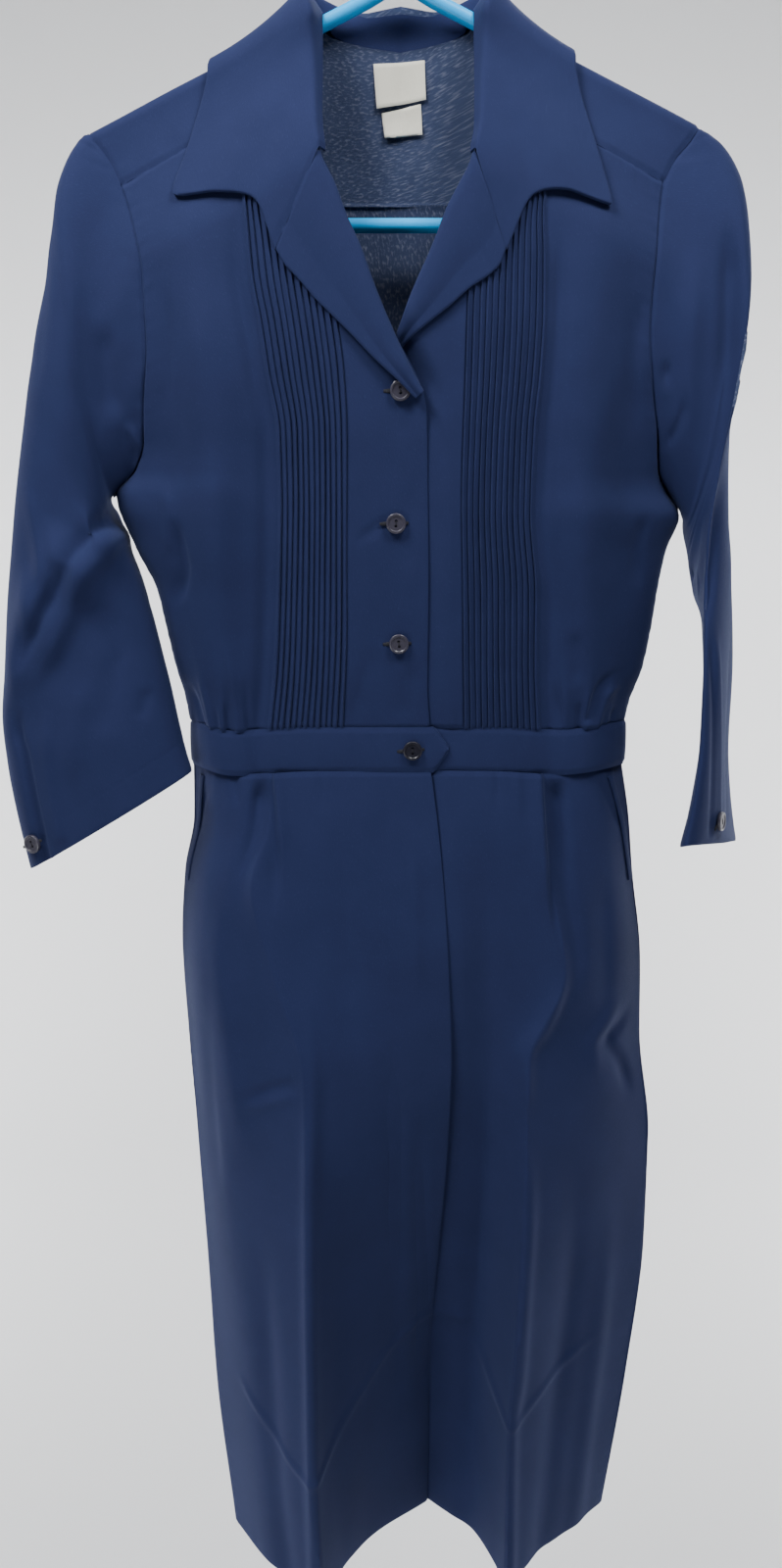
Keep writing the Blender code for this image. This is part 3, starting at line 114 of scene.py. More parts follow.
def tenths(*rows: Sequence[int], lengths: int = 99) -> list[tuple[float, ...]]:
    """Return a table in metres from one in tenths of a millimetre.

    Args:
        rows: the rows.
        lengths: how many of the first columns are lengths.

    Returns:
        The rows, with their other columns as they are.
    """
    return [tuple(value / TENTHS_PER_METRE if k < lengths else value for k, value in enumerate(row))
            for row in rows]


# Edge of the garment seen from the front: z, x of the side seam and then of the front armhole seam
EDGE = {
    Side.RIGHT: tenths((-5410, -1450), (-5210, -1480), (-5040, -1540), (-4760, -1600), (-4500, -1655), (-4240, -1775),
        (-3885, -1890), (-3734, -1740), (-3550, -1668), (-3280, -1640), (-2980, -1605), (-2570, -1609),
        (-2260, -1667), (-2011, -1746), (-1917, -1789), (-1818, -1856), (-1700, -1960)),
    Side.LEFT: tenths((-5410, 1570), (-5270, 1596), (-5040, 1673), (-4730, 1726), (-4500, 1754), (-4240, 1800),
        (-4026, 1875), (-3880, 1780), (-3734, 1695), (-3550, 1668), (-3190, 1600), (-2830, 1570), (-2375, 1596),
        (-1994, 1637), (-1861, 1702), (-1741, 1803), (-1652, 1862)),
}
UNDERARM_Z = {Side.RIGHT: -0.3885, Side.LEFT: -0.4026}
JUNCTION_Z = {Side.RIGHT: -0.2011, Side.LEFT: -0.1994}

# Depth of the front below the shoulder: z, y at the middle, y at the armhole seam
FRONT_DEPTH = tenths((-5410, -340, 0), (-5000, -370, 0), (-4200, -410, 0), (-3885, -420, -20), (-3700, -425, -120),
    (-3400, -435, -220), (-3000, -440, -270), (-2500, -420, -260), (-2000, -390, -200), (-1000, -340, -160))
BACK_DEPTH = tenths((-5410, 300, 0), (-5000, 300, 0), (-4200, 290, 0), (-3885, 285, 20), (-3700, 280, 100),
    (-3400, 275, 160), (-3000, 270, 190), (-2500, 260, 190), (-2000, 240, 160), (-1000, 200, 120))
# Soft puff of cloth beside the tucks: z, x of its crest, height
PUFF = {
    Side.RIGHT: tenths((-5410, -1240, 40), (-5000, -1220, 70), (-4200, -1210, 100), (-3300, -1190, 80),
        (-2500, -1250, 30), (-2000, -1300, 0)),
    Side.LEFT: tenths((-5410, 1280, 40), (-5000, 1260, 70), (-4200, 1180, 100), (-3300, 1160, 70), (-2500, 1200, 30),
        (-2000, 1250, 0)),
}
PUFF_WIDTH = 0.019
# Gathers where the bodice meets the waistband: x of each crest, height
WAIST_GATHERS = {
    Side.RIGHT: tenths((-1060, 16), (-1200, 26), (-1340, 22)),
    Side.LEFT: tenths((1100, 22), (1270, 28), (1430, 20)),
}
GATHER_WIDTH = 0.0040
GATHER_REACH = 0.052

# Inner edge of each front: z, x along the placket and then along the roll line of the lapel
INNER_EDGE = {
    Side.RIGHT: tenths((-5410, 200), (-5120, 180), (-4480, 182), (-3860, 172), (-3400, 162), (-3308, 150),
        (-2913, -42), (-2654, -155), (-2423, -243), (-2254, -324), (-2006, -425), (-1860, -490), (-1700, -505),
        (-1400, -505)),
    Side.LEFT: tenths((-5410, -210), (-4480, -215), (-3450, -220), (-3350, -200), (-2910, -24), (-2674, 71),
        (-2419, 189), (-2206, 275), (-1938, 425), (-1780, 465), (-1400, 470)),
}
TUCKS_INNER = {
    Side.RIGHT: tenths((-5420, -381), (-4730, -349), (-4230, -345), (-3500, -339), (-3150, -354), (-2860, -388),
        (-2400, -440), (-1900, -600), (-1400, -620)),
    Side.LEFT: tenths((-5420, 432), (-4480, 406), (-3860, 391), (-3260, 402), (-2690, 410), (-2400, 420),
        (-1900, 560), (-1400, 580)),
}
TUCKS_OUTER = {
    Side.RIGHT: tenths((-5420, -906), (-4990, -850), (-4600, -822), (-4230, -801), (-3860, -787), (-3500, -791),
        (-3150, -851), (-2860, -893), (-2570, -946), (-2180, -971), (-1600, -980)),
    Side.LEFT: tenths((-5420, 963), (-4990, 931), (-4480, 917), (-3980, 865), (-3500, 870), (-3150, 897),
        (-2800, 911), (-2460, 907), (-2210, 893), (-1600, 890)),
}
# Armhole over the shoulder on the yoke: q along the cloth from the ridge, to the front, and x
YOKE_ARMHOLE = {
    Side.RIGHT: tenths((-480, -1860), (-334, -1890), (-203, -1925), (-111, -1950), (0, -1960), (111, -1912),
        (203, -1856), (334, -1789), (448, -1746)),
    Side.LEFT: tenths((-480, 1800), (-334, 1822), (-203, 1842), (-111, 1858), (0, 1862), (151, 1803), (318, 1702),
        (482, 1637)),
}
BACK_ARMHOLE = {
    Side.RIGHT: tenths(
        (-3885, -1890), (-3734, -1835), (-3550, -1800), (-3000, -1780), (-2500, -1800), (-2050, -1860)
    ),
    Side.LEFT: tenths((-4026, 1875), (-3880, 1830), (-3550, 1770), (-3000, 1740), (-2500, 1750), (-2050, 1800)),
}
# Back neckline from the shoulder ridge to the middle: share of the way, x, q
BACK_NECK = {Side.RIGHT: [(0.0, -0.0505, 0.0), (0.12, -0.0500, -0.0070), (0.30, -0.0460, -0.0150),
                       (0.60, -0.0280, -0.0290), (1.0, 0.0, -0.0454)],
             Side.LEFT: [(0.0, 0.0470, 0.0), (0.12, 0.0465, -0.0070), (0.30, 0.0430, -0.0150),
                      (0.60, 0.0260, -0.0290), (1.0, 0.0, -0.0454)]}

# Collar stations from the middle of the back to the gorge: neck x, q; roll x, q, height; edge x, q, height
COLLAR = {
    Side.RIGHT: tenths((0, -454, 0, -165, 60, 0, -800, 60), (-240, -320, -260, -90, 70, -480, -560, 60),
        (-420, -175, -440, -20, 120, -920, -330, 55), (-505, -20, -520, 10, 165, -1147, 0, 46),
        (-505, 150, -520, 130, 150, -1220, 250, 42), (-505, 300, -515, 290, 110, -1310, 500, 36),
        (-505, 450, -510, 440, 85, -1392, 700, 36), (-505, 620, -508, 610, 65, -1120, 850, 36),
        (-497, 770, -502, 760, 55, -880, 1010, 36), (-480, 905, -486, 895, 50, -768, 1340, 36)),
    Side.LEFT: tenths((0, -454, 0, -165, 60, 0, -800, 60), (220, -320, 240, -90, 70, 450, -575, 60),
        (395, -175, 410, -20, 120, 850, -360, 55), (470, -20, 485, 10, 165, 1040, 0, 46),
        (470, 150, 485, 130, 150, 1100, 260, 42), (470, 300, 480, 290, 110, 1190, 520, 36),
        (470, 450, 475, 440, 85, 1280, 830, 36), (468, 620, 471, 610, 65, 1000, 900, 36),
        (466, 770, 468, 760, 55, 800, 1020, 36), (440, 935, 440, 925, 50, 645, 1400, 36)),
}
# Lapel stations from the gorge to the break of the roll: roll x, z; edge x, z; height of the edge
LAPEL = {
    Side.RIGHT: tenths((-488, -1870, -760, -2442, 34), (-455, -1960, -703, -2535, 34), (-400, -2060, -625, -2615, 32),
        (-324, -2254, -529, -2723, 32), (-243, -2423, -411, -2835, 34), (-155, -2654, -293, -2947, 36),
        (-42, -2913, -174, -3067, 42), (60, -3120, -40, -3186, 52), (143, -3265, 92, -3312, 50)),
    Side.LEFT: tenths((428, -1895, 637, -2444, 34), (405, -1965, 600, -2535, 34), (345, -2075, 525, -2600, 32),
        (275, -2206, 420, -2668, 32), (189, -2419, 300, -2770, 32), (71, -2674, 184, -2857, 30),
        (-24, -2910, 6, -3009, 28), (-120, -3130, -80, -3180, 28)),
}

# Sleeve rings below the armhole: outer fold x, y, z; inner fold x, y, z; depth front, back; turn in degrees
SLEEVE = {
    Side.RIGHT: tenths((-2075, 0, -1810, -1905, 0, -3900, 280, 200, 0),
        (-2146, 0, -1985, -1908, 0, -3920, 300, 220, 0), (-2190, 0, -2210, -1908, 0, -3945, 310, 240, 0),
        (-2250, -20, -2500, -1905, 0, -3980, 320, 250, 0), (-2350, -40, -2900, -1895, 0, -4030, 320, 260, 0),
        (-2432, -60, -3360, -1870, -20, -4100, 310, 260, 0), (-2512, -90, -3855, -1815, -50, -4240, 300, 250, 0),
        (-2565, -120, -4236, -1745, -80, -4420, 290, 240, 0), (-2620, -150, -4625, -1675, -120, -4660, 280, 230, 0),
        (-2660, -180, -5020, -1605, -160, -4920, 270, 220, 0), (-2688, -210, -5350, -1545, -190, -5160, 260, 210, 0),
        (-2665, -240, -5650, -1500, -220, -5380, 250, 200, 0), (-2610, -260, -6050, -1460, -240, -5570, 230, 180, 0),
        (-2550, -280, -6394, -1421, -260, -5720, 210, 160, 0), lengths=8),
    Side.LEFT: tenths((2085, 0, -1800, 1900, 0, -4045, 280, 200, 0), (2130, 0, -1930, 1905, 0, -4065, 300, 220, 0),
        (2190, -20, -2170, 1910, 0, -4090, 310, 240, 0), (2215, -50, -2470, 1915, 20, -4120, 310, 250, 0),
        (2200, -90, -2900, 1925, 40, -4170, 300, 250, 4), (2150, -150, -3350, 1950, 80, -4240, 270, 240, 12),
        (2110, -230, -3750, 2005, 140, -4360, 210, 230, 28), (2050, -350, -4200, 2120, 220, -4570, 140, 200, 52),
        (2000, -480, -4650, 2240, 300, -4850, 60, 160, 68), (1980, -580, -5050, 2300, 360, -5200, 50, 150, 71),
        (1970, -640, -5450, 2320, 400, -5640, 60, 150, 71), (1940, -690, -5800, 2350, 430, -6050, 100, 180, 71),
        (1895, -730, -6110, 2400, 450, -6430, 160, 230, 71), lengths=8),
}
# Ridge of cloth that crosses the front of a sleeve: ring number, angle in degrees from the outer fold, height
SLEEVE_RIDGE = {Side.RIGHT: [(0, 150.0, 0.0), (5, 150.0, 0.002), (6, 128.0, 0.010), (7, 95.0, 0.012),
                          (8, 62.0, 0.011), (9, 38.0, 0.008), (10, 15.0, 0.004), (13, 8.0, 0.0)],
                Side.LEFT: [(0, 60.0, 0.0), (3, 50.0, 0.004), (5, 30.0, 0.008), (7, 12.0, 0.006), (12, 5.0, 0.0)]}
RIDGE_WIDTH = math.radians(24.0)

# Plan of the skirt's front: z, then x, y at the side seam, flank, pressed ridge, its foot, front edge
SKIRT = {
    Side.RIGHT: tenths((-5708, -1442, 0, -1270, -190, -860, -330, -450, -350, 210, -345),
        (-6100, -1455, 0, -1290, -210, -900, -400, -450, -400, 260, -390),
        (-6500, -1535, 0, -1360, -250, -1010, -450, -480, -450, 300, -430),
        (-7120, -1580, 0, -1400, -300, -860, -550, -430, -520, 340, -470),
        (-7780, -1565, 0, -1370, -330, -665, -680, -330, -590, 365, -460),
        (-8600, -1520, -30, -1300, -370, -640, -780, -240, -560, 345, -350),
        (-9500, -1470, -80, -1230, -430, -640, -860, -240, -480, 300, -190),
        (-10680, -1430, -130, -1103, -535, -634, -911, -300, -500, 250, -10),
        (-11900, -1305, -221, -980, -630, -560, -950, -260, -420, 240, -20)),
    Side.LEFT: tenths((-5708, 1555, 0, 1380, -190, 980, -315, 560, -345, 210, -345),
        (-6100, 1625, 0, 1440, -200, 1010, -370, 580, -380, 260, -390),
        (-6500, 1670, 0, 1500, -210, 1060, -400, 610, -400, 300, -430),
        (-7120, 1755, 0, 1560, -230, 1160, -430, 650, -410, 340, -460),
        (-7780, 1785, 0, 1500, -260, 910, -500, 640, -380, 365, -430),
        (-8600, 1890, 0, 1500, -270, 900, -570, 620, -290, 345, -320),
        (-9500, 1895, 0, 1450, -270, 890, -620, 600, -170, 300, -170),
        (-10680, 1810, -5, 1350, -290, 831, -651, 600, -100, 250, 0),
        (-11900, 1660, -38, 1240, -400, 820, -800, 560, -260, 240, -20)),
}
SKIRT_BACK_DEPTH = tenths((-5708, 300), (-6500, 330), (-7800, 390), (-9500, 430), (-11900, 460))
SKIRT_LEVELS = [-0.5708, -0.5900, -0.6150, -0.6500, -0.6900, -0.7350, -0.7800, -0.8400, -0.9100, -0.9900,
                -1.0680, -1.1300, HEM_Z]
# Pleat that opens out of the waistband beside the ridge: depth of its valley and its distance from the ridge
PLEAT_DEPTH = 0.0070
PLEAT_STEP = 0.0080
PLEAT_WIDTH = 0.0060
PLEAT_REACH = {Side.RIGHT: 0.110, Side.LEFT: 0.200}

# Buttons down the front: name, x, z, tilt of the two holes in degrees
BODICE_BUTTONS = [("button_top", -0.0002, -0.3262, 6.0), ("button_middle", -0.0028, -0.4068, -4.0),
                  ("button_lower", -0.0008, -0.4838, 8.0)]
WAIST_BUTTON = ("button_waist", 0.0085, -0.5557, 3.0)
# Cuff buttons: name, side, ring from the cuff, angle in degrees from the outer fold
CUFF_BUTTONS = [("button_cuff_right", Side.RIGHT, 0.60, 36.0), ("button_cuff_left", Side.LEFT, 0.60, -48.0)]
# Slanted pocket edges: share of the rows and of the columns of the skirt front at the two ends
POCKETS = {Side.RIGHT: ((0.35, 1.30), (3.15, 0.30)), Side.LEFT: ((0.35, 1.90), (3.15, 0.30))}
POCKET_WALL = 0.0010

# How far from the right edge the left front starts to go under it, and how much more at the crossing
UNDER_FADE = 0.016
UNDER_SINK = 0.0058
COLLAR_LIFT = 0.0010


class Track:
    """Values that run smoothly, without overshoot, through rows of a place and its values."""

    def __init__(self, rows: Rows | Grid) -> None:
        """Keep the rows in order of their places.

        Args:
            rows: a place and its values in each row.
        """
        table = np.array(rows, dtype=float)
        table = table[np.argsort(table[:, 0])]
        self.at = table[:, 0]
        self.values = table[:, 1:]
        rise = np.diff(self.values, axis=0) / np.diff(self.at)[:, None]
        self.slope = np.zeros_like(self.values)
        same = rise[1:] * rise[:-1] > 0
        total = np.where(same, rise[1:] + rise[:-1], 1.0)
        self.slope[1:-1] = np.where(same, 2 * rise[1:] * rise[:-1] / total, 0.0)
        self.slope[0] = rise[0]
        self.slope[-1] = rise[-1]

    def __call__(self, places: Grid | float) -> Grid:
        """Return the values at places.

        Args:
            places: one place or an array of them.

        Returns:
            The values, with a last axis for them where a row holds more than one.
        """
        places = np.clip(np.asarray(places, dtype=float), self.at[0], self.at[-1])
        low = np.clip(np.searchsorted(self.at, places) - 1, 0, len(self.at) - 2)
        span = (self.at[low + 1] - self.at[low])[..., None]
        t = (places - self.at[low])[..., None] / span
        out = (self.values[low] * (2 * t**3 - 3 * t**2 + 1) + self.slope[low] * span * (t**3 - 2 * t**2 + t)
               + self.values[low + 1] * (3 * t**2 - 2 * t**3) + self.slope[low + 1] * span * (t**3 - t**2))
        return out[..., 0] if out.shape[-1] == 1 else out


def numbered(rows: Rows | Grid) -> Track:
    """Return a track through rows by their number.

    Args:
        rows: the values of each row.

    Returns:
        The track, whose places are 0, 1, 2 and so on.
    """
    table = np.array(rows, dtype=float)
    return Track(np.column_stack([np.arange(len(table)), table.reshape(len(table), -1)]))


def ease(t: Grid | float) -> Grid:
    """Go smoothly from 0 to 1 as t does."""
    t = np.clip(t, 0.0, 1.0)
    return t * t * (3 - 2 * t)


def off_middle(x: Grid | float, sign: float = 1.0) -> Grid:
    """Keep places a hair off x = 0, where the tables of the two sides meet."""
    return np.where(np.abs(x) < HAIR, sign * HAIR, x)


def hump(offset: Grid | float, width: Grid | float) -> Grid:
    """Return a soft bump of height 1 round an offset of 0."""
    return np.exp(-(offset / width) ** 2)


def packed(count: int, ends: float = 0.7) -> Grid:
    """Return places from 0 to 1 that lie closer together towards both ends.

    Args:
        count: how many places.
        ends: 0 for even places, near 1 for places packed at the ends.

    Returns:
        The places in order.
    """
    t = np.linspace(0.0, 1.0, count)
    return t - ends * np.sin(2 * math.pi * t) / (2 * math.pi)


def turned_sine(count: int) -> Grid:
    """Return shares from near 0 to 1 that pack towards 1, where a surface turns round the side."""
    return np.sin(math.pi / 2 * np.linspace(0.0, 1.0, count + 1)[1:])


EDGE_X = {side: Track(EDGE[side]) for side in Side}
BACK_EDGE_X = {side: Track(EDGE[side][:6] + BACK_ARMHOLE[side]) for side in Side}
INNER_X = {side: Track(INNER_EDGE[side]) for side in Side}
TUCK_IN_X = {side: Track(TUCKS_INNER[side]) for side in Side}
TUCK_OUT_X = {side: Track(TUCKS_OUTER[side]) for side in Side}
PUFF_LINE = {side: Track(PUFF[side]) for side in Side}
FRONT_Y = Track(FRONT_DEPTH)
BACK_Y = Track(BACK_DEPTH)

# The cloth arches over the hanger's arms with a little room and blends into the flat below them
ARCH_ROOM = 0.0009
RIDGE_ROOM = 0.0007
ARCH = TUBE_RADIUS + CLOTH + GAP + ARCH_ROOM
RIDGE_TOP = APEX_Z + TUBE_RADIUS * math.hypot(1.0, ARM_SLOPE) + CLOTH + GAP + RIDGE_ROOM
ARCH_TURN = ARCH * math.pi / 2
ARCH_BLEND = 0.100
# Below this height the bodice is round at its sides; above it the armholes hold it flat
ROUND_Z = -0.345
ROUND_REACH = 0.060
ROUND_POWER = 2.6
FLAT_POWER = 3
SIDE_FADE = 8
# Hollow between the tucks and the puff: distance from the tucks, depth, width, where it starts and fades in
HOLLOW = (0.006, 0.0030, 0.005, -0.22, 0.06)
# Where the left front crosses under the right one, and the room between them
CROSSING_Z = -0.308
CROSSING_X = 0.012
CROSSING_REACH = 0.030
LAP_ROOM = 0.0002


def ridge(x: Grid | float) -> Grid:
    """Return the height of the cloth where it lies over the hanger's arm."""
    return RIDGE_TOP - ARM_SLOPE * np.abs(x)


def by_side(x: Grid, tracks: dict[Side, Track], z: Grid) -> Grid:
    """Return each side's track value, picked by the sign of x."""
    right, left = tracks[Side.RIGHT](z), tracks[Side.LEFT](z)
    pick = x < 0
    return np.where(pick[..., None] if right.ndim > pick.ndim else pick, right, left)


def body_depth(x: Grid | float, z: Grid | float, front: bool = True) -> Grid:
    """Return the depth of the bodice's outer face.

    Args:
        x: places across.
        z: heights.
        front: whether the front face is meant.

    Returns:
        The y of the outer face at each place.
    """
    x, z = np.broadcast_arrays(np.asarray(x, float), np.asarray(z, float))
    edge = by_side(x, EDGE_X if front else BACK_EDGE_X, z)
    both = (FRONT_Y if front else BACK_Y)(z)
    middle, rim = both[..., 0], both[..., 1]
    share = np.minimum(np.abs(x / edge), 1.0)
    round_side = ease((ROUND_Z - z) / ROUND_REACH)
    shape = round_side * np.sqrt(1 - share**ROUND_POWER) + (1 - round_side) * (1 - share**FLAT_POWER)
    depth = rim + (middle - rim) * shape
    if front:
        puff = by_side(x, PUFF_LINE, z)
        fade = np.minimum(1.0, (1 - share) * SIDE_FADE)
        depth = depth - puff[..., 1] * hump(x - puff[..., 0], PUFF_WIDTH) * fade
        away, deep, wide, top, reach = HOLLOW
        step = np.abs(x) - np.abs(by_side(x, TUCK_OUT_X, z)) - away
        depth = depth + deep * hump(step, wide) * ease((top - z) / reach)
        rise = ease(1 - (z - WAIST_Z) / GATHER_REACH)
        for side in Side:
            for place, size in WAIST_GATHERS[side]:
                depth = depth - size * rise * hump(x - place, GATHER_WIDTH) * fade
    drop = np.maximum(ridge(x) - z, 0.0)
    near = np.minimum(drop, ARCH)
    arch = ARCH * np.sqrt(np.maximum(0.0, 1 - (1 - near / ARCH) ** 2))
    sign = -1.0 if front else 1.0
    return sign * arch + (depth - sign * ARCH) * ease(drop / ARCH_BLEND)


def over_shoulder(x: Grid | float, q: Grid | float) -> Grid:
    """Return points at x and at q along the cloth from the shoulder ridge, positive to the front."""
    x, q = np.broadcast_arrays(np.asarray(x, float), np.asarray(q, float))
    length = np.abs(q)
    curved = ARCH * (1 - np.cos(np.minimum(length, ARCH_TURN) / ARCH))
    z = ridge(x) - np.where(length < ARCH_TURN, curved, ARCH + length - ARCH_TURN)
    y = np.where(q >= 0, body_depth(x, z, True), body_depth(x, z, False))
    return np.stack([x, y, z], -1)


def drop_to_q(drop: Grid | float) -> Grid:
    """Return q for places this far below the ridge."""
    return drop - ARCH + ARCH_TURN


def lifted(x: Grid | float, q: Grid | float, height: Grid | float) -> Grid:
    """Return points at x and q, moved out of the cloth by a height.

    Args:
        x: places across.
        q: places along the cloth from the ridge.
        height: how far out of the cloth.

    Returns:
        The points.
    """
    step = 1.5 * MM
    along = over_shoulder(x, q + step) - over_shoulder(x, q - step)
    across = over_shoulder(x + step, q) - over_shoulder(x - step, q)
    normal = np.cross(along, across)
    normal /= np.linalg.norm(normal, axis=-1, keepdims=True)
    return over_shoulder(x, q) + normal * np.asarray(height, float)[..., None]


def under_lap(x: Grid, z: Grid) -> Grid:
    """Return how far the left front lies under the right one."""
    share = ease(1 - (x - INNER_X[Side.RIGHT](z)) / UNDER_FADE)
    sink = UNDER_SINK * hump(z - CROSSING_Z, CROSSING_REACH) * ease(1 - (x - CROSSING_X) / CROSSING_REACH)
    return (CLOTH + GAP + LAP_ROOM + sink) * share


def grid_normals(grid: Grid, inside: Sequence[float] | Grid, closed: bool = False) -> Grid:
    """Return the outward unit normals of a grid of points.

    Args:
        grid: rows by columns of points.
        inside: a point or points that the normals face away from.
        closed: whether the last column joins the first.

    Returns:
        A normal for each point.
    """
    ring = ringed(grid, closed)
    across = ring[:, 1:] - ring[:, :-1]
    along = ring[1:] - ring[:-1]
    face = np.cross(across[1:] + across[:-1], along[:, 1:] + along[:, :-1])
    face /= np.maximum(np.linalg.norm(face, axis=2, keepdims=True), 1e-15)
    total = np.zeros_like(ring)
    count = np.zeros(ring.shape[:2] + (1,))
    for rows in (slice(None, -1), slice(1, None)):
        for columns in (slice(None, -1), slice(1, None)):
            total[rows, columns] += face
            count[rows, columns] += 1
    if closed:
        total[:, 0] += total[:, -1]
        count[:, 0] += count[:, -1]
        total, count = total[:, :-1], count[:, :-1]
    mean = total / count
    normals = mean / np.maximum(np.linalg.norm(mean, axis=2, keepdims=True), 1e-9)
    return -normals if np.sum(normals * (grid - np.array(inside))) < 0 else normals


def ringed(grid: Grid, closed: bool) -> Grid:
    """Return the grid, with its first column again at the end where it closes."""
    return np.concatenate([grid, grid[:, :1]], axis=1) if closed else grid


def arc_lengths(grid: Grid, closed: bool = False) -> tuple[Grid, Grid]:
    """Return the distance along each row and down each column of a grid.

    Args:
        grid: rows by columns of points.
        closed: whether a further column closes the ring.

    Returns:
        The distances across and down, in metres.
    """
    ring = ringed(grid, closed)
    across = np.linalg.norm(np.diff(ring, axis=1), axis=2)
    down = np.linalg.norm(np.diff(ring, axis=0), axis=2)
    u = np.concatenate([np.zeros((len(ring), 1)), np.cumsum(across, axis=1)], axis=1)
    v = np.concatenate([np.zeros((1, ring.shape[1])), np.cumsum(down, axis=0)], axis=0)
    return u, v


@dataclass(frozen=True)
class Fold:
    """One listed crease: a ridge or a trough along a path on a piece, in millimetres.

    The path holds x and z as seen from the front or the back. A second width makes the far side of the path
    steeper or softer than the near side, which lies to the left of its direction.
    """

    path: tuple[tuple[float, float], ...]
    height: float
    width: float
    other: float = 0.0
    fade: tuple[float, float] = (0.3, 0.3)

    def relief(self, x: Grid, z: Grid) -> Grid:
        """Return the height of this crease.

        Args:
            x: places across, in metres.
            z: heights, in metres.

        Returns:
            The height over the plain cloth at each place, in metres.
        """
        knots = np.array(self.path, float) * MM
        line = numbered(knots)(np.linspace(0, len(knots) - 1, 8 * len(knots)))
        reach = 3 * MM * max(self.width, self.other)
        low, high = line.min(axis=0) - reach, line.max(axis=0) + reach
        near = (x > low[0]) & (x < high[0]) & (z > low[1]) & (z < high[1])
        out = np.zeros(np.shape(x))
        if not near.any():
            return out
        point = np.stack([x[near], z[near]], -1)[:, None]
        start, step = line[:-1], np.diff(line, axis=0)
        length = np.linalg.norm(step, axis=1)
        t = np.clip(np.sum((point - start) * step, -1) / length**2, 0, 1)
        gap = point - (start + t[..., None] * step)
        far = np.sum(gap**2, -1)
        k = far.argmin(axis=1)
        pick = np.arange(len(k))
        gap, t = gap[pick, k], t[pick, k]
        left = step[k, 0] * gap[:, 1] - step[k, 1] * gap[:, 0] > 0
        width = np.where(left, self.width, self.other or self.width) * MM
        along = (np.concatenate([[0], np.cumsum(length)])[k] + t * length[k]) / length.sum()
        strength = np.ones(len(k))
        if self.fade[0]:
            strength *= ease(along / self.fade[0])
        if self.fade[1]:
            strength *= ease((1 - along) / self.fade[1])
        out[near] = self.height * MM * strength * hump(np.sqrt(far[pick, k]), width)
        return out


# Every listed crease is this much stronger than its row says; the soft waves are longer than wide
CREASE_STRENGTH = 1.45
WAVE_STRETCH = 0.55
# Dips of the front's waist seam beside the tucks: x of the middle, width, depth
DIPS = ((-0.112, 0.032, 0.0040), (0.106, 0.030, 0.0030))
DIP_Z, DIP_REACH = -0.556, 0.060
DIP_SIDE, DIP_SIDE_REACH = -0.150, 0.030
DIP_FRONT = 0.012


def folded(folds: Iterable[Fold], x: Grid, z: Grid) -> Grid:
    """Return the summed height of a set of creases."""
    total = np.zeros(np.shape(x))
    for fold in folds:
        total += fold.relief(x, z)
    return total * CREASE_STRENGTH


def drift(grid: Grid, size: float, height: float, seed: float) -> Grid:
    """Return the slight unevenness that hanging cloth has.

    Args:
        grid: rows by columns of points.
        size: how wide its soft waves are, in metres.
        height: how high they are, in metres.
        seed: shifts the pattern.

    Returns:
        A height for each point.
    """
    flat = grid.reshape(-1, 3) / size
    values = [noise.noise(Vector((p[0] + seed, p[1], p[2] * WAVE_STRETCH))) for p in flat]
    return np.array(values).reshape(grid.shape[:2]) * height


def waist_dip(grid: Grid) -> Grid:
    """Lower the front's cloth a little beside the tucks, where its weight pulls the waist seam down."""
    x, z = grid[..., 0], grid[..., 2]
    right, left = (depth * hump(x - middle, width) for middle, width, depth in DIPS)
    right = right * ease((x - DIP_SIDE) / DIP_SIDE_REACH)
    front = ease(-grid[..., 1] / DIP_FRONT)
    out = grid.copy()
    out[..., 2] -= (right + left) * hump(z - DIP_Z, DIP_REACH) * front
    return out


@dataclass(frozen=True)
class Roll:
    """How a piece's edge turns in at a seam or a turned edge, in millimetres."""

    depth: float = 0.8
    width: float = 1.0
    pucker: float = 0.16
    pitch: float = 9.0
    reach: float = 7.0
    lap: float = 0.0

    def relief(self, distance: Grid, along: Grid, seed: float) -> Grid:
        """Return the height near this edge.

        Args:
            distance: how far each point is from the edge, in metres.
            along: how far along the edge it is, in metres.
            seed: shifts the puckers.

        Returns:
            The height over the plain cloth, in metres.
        """
        turn = -self.depth * hump(np.maximum(distance - self.lap * MM, 0.0), self.width * MM)
        beat = 2 * math.pi * along / (self.pitch * MM)
        wave = np.sin(beat + seed) + 0.7 * np.sin(beat * 0.617 + 2.1 * seed) + 0.5 * np.sin(beat * 1.731 + seed)
        pull = self.pucker * wave * np.exp(-distance / (self.reach * MM)) * (1 - hump(distance, 0.002))
        return (turn + pull) * MM


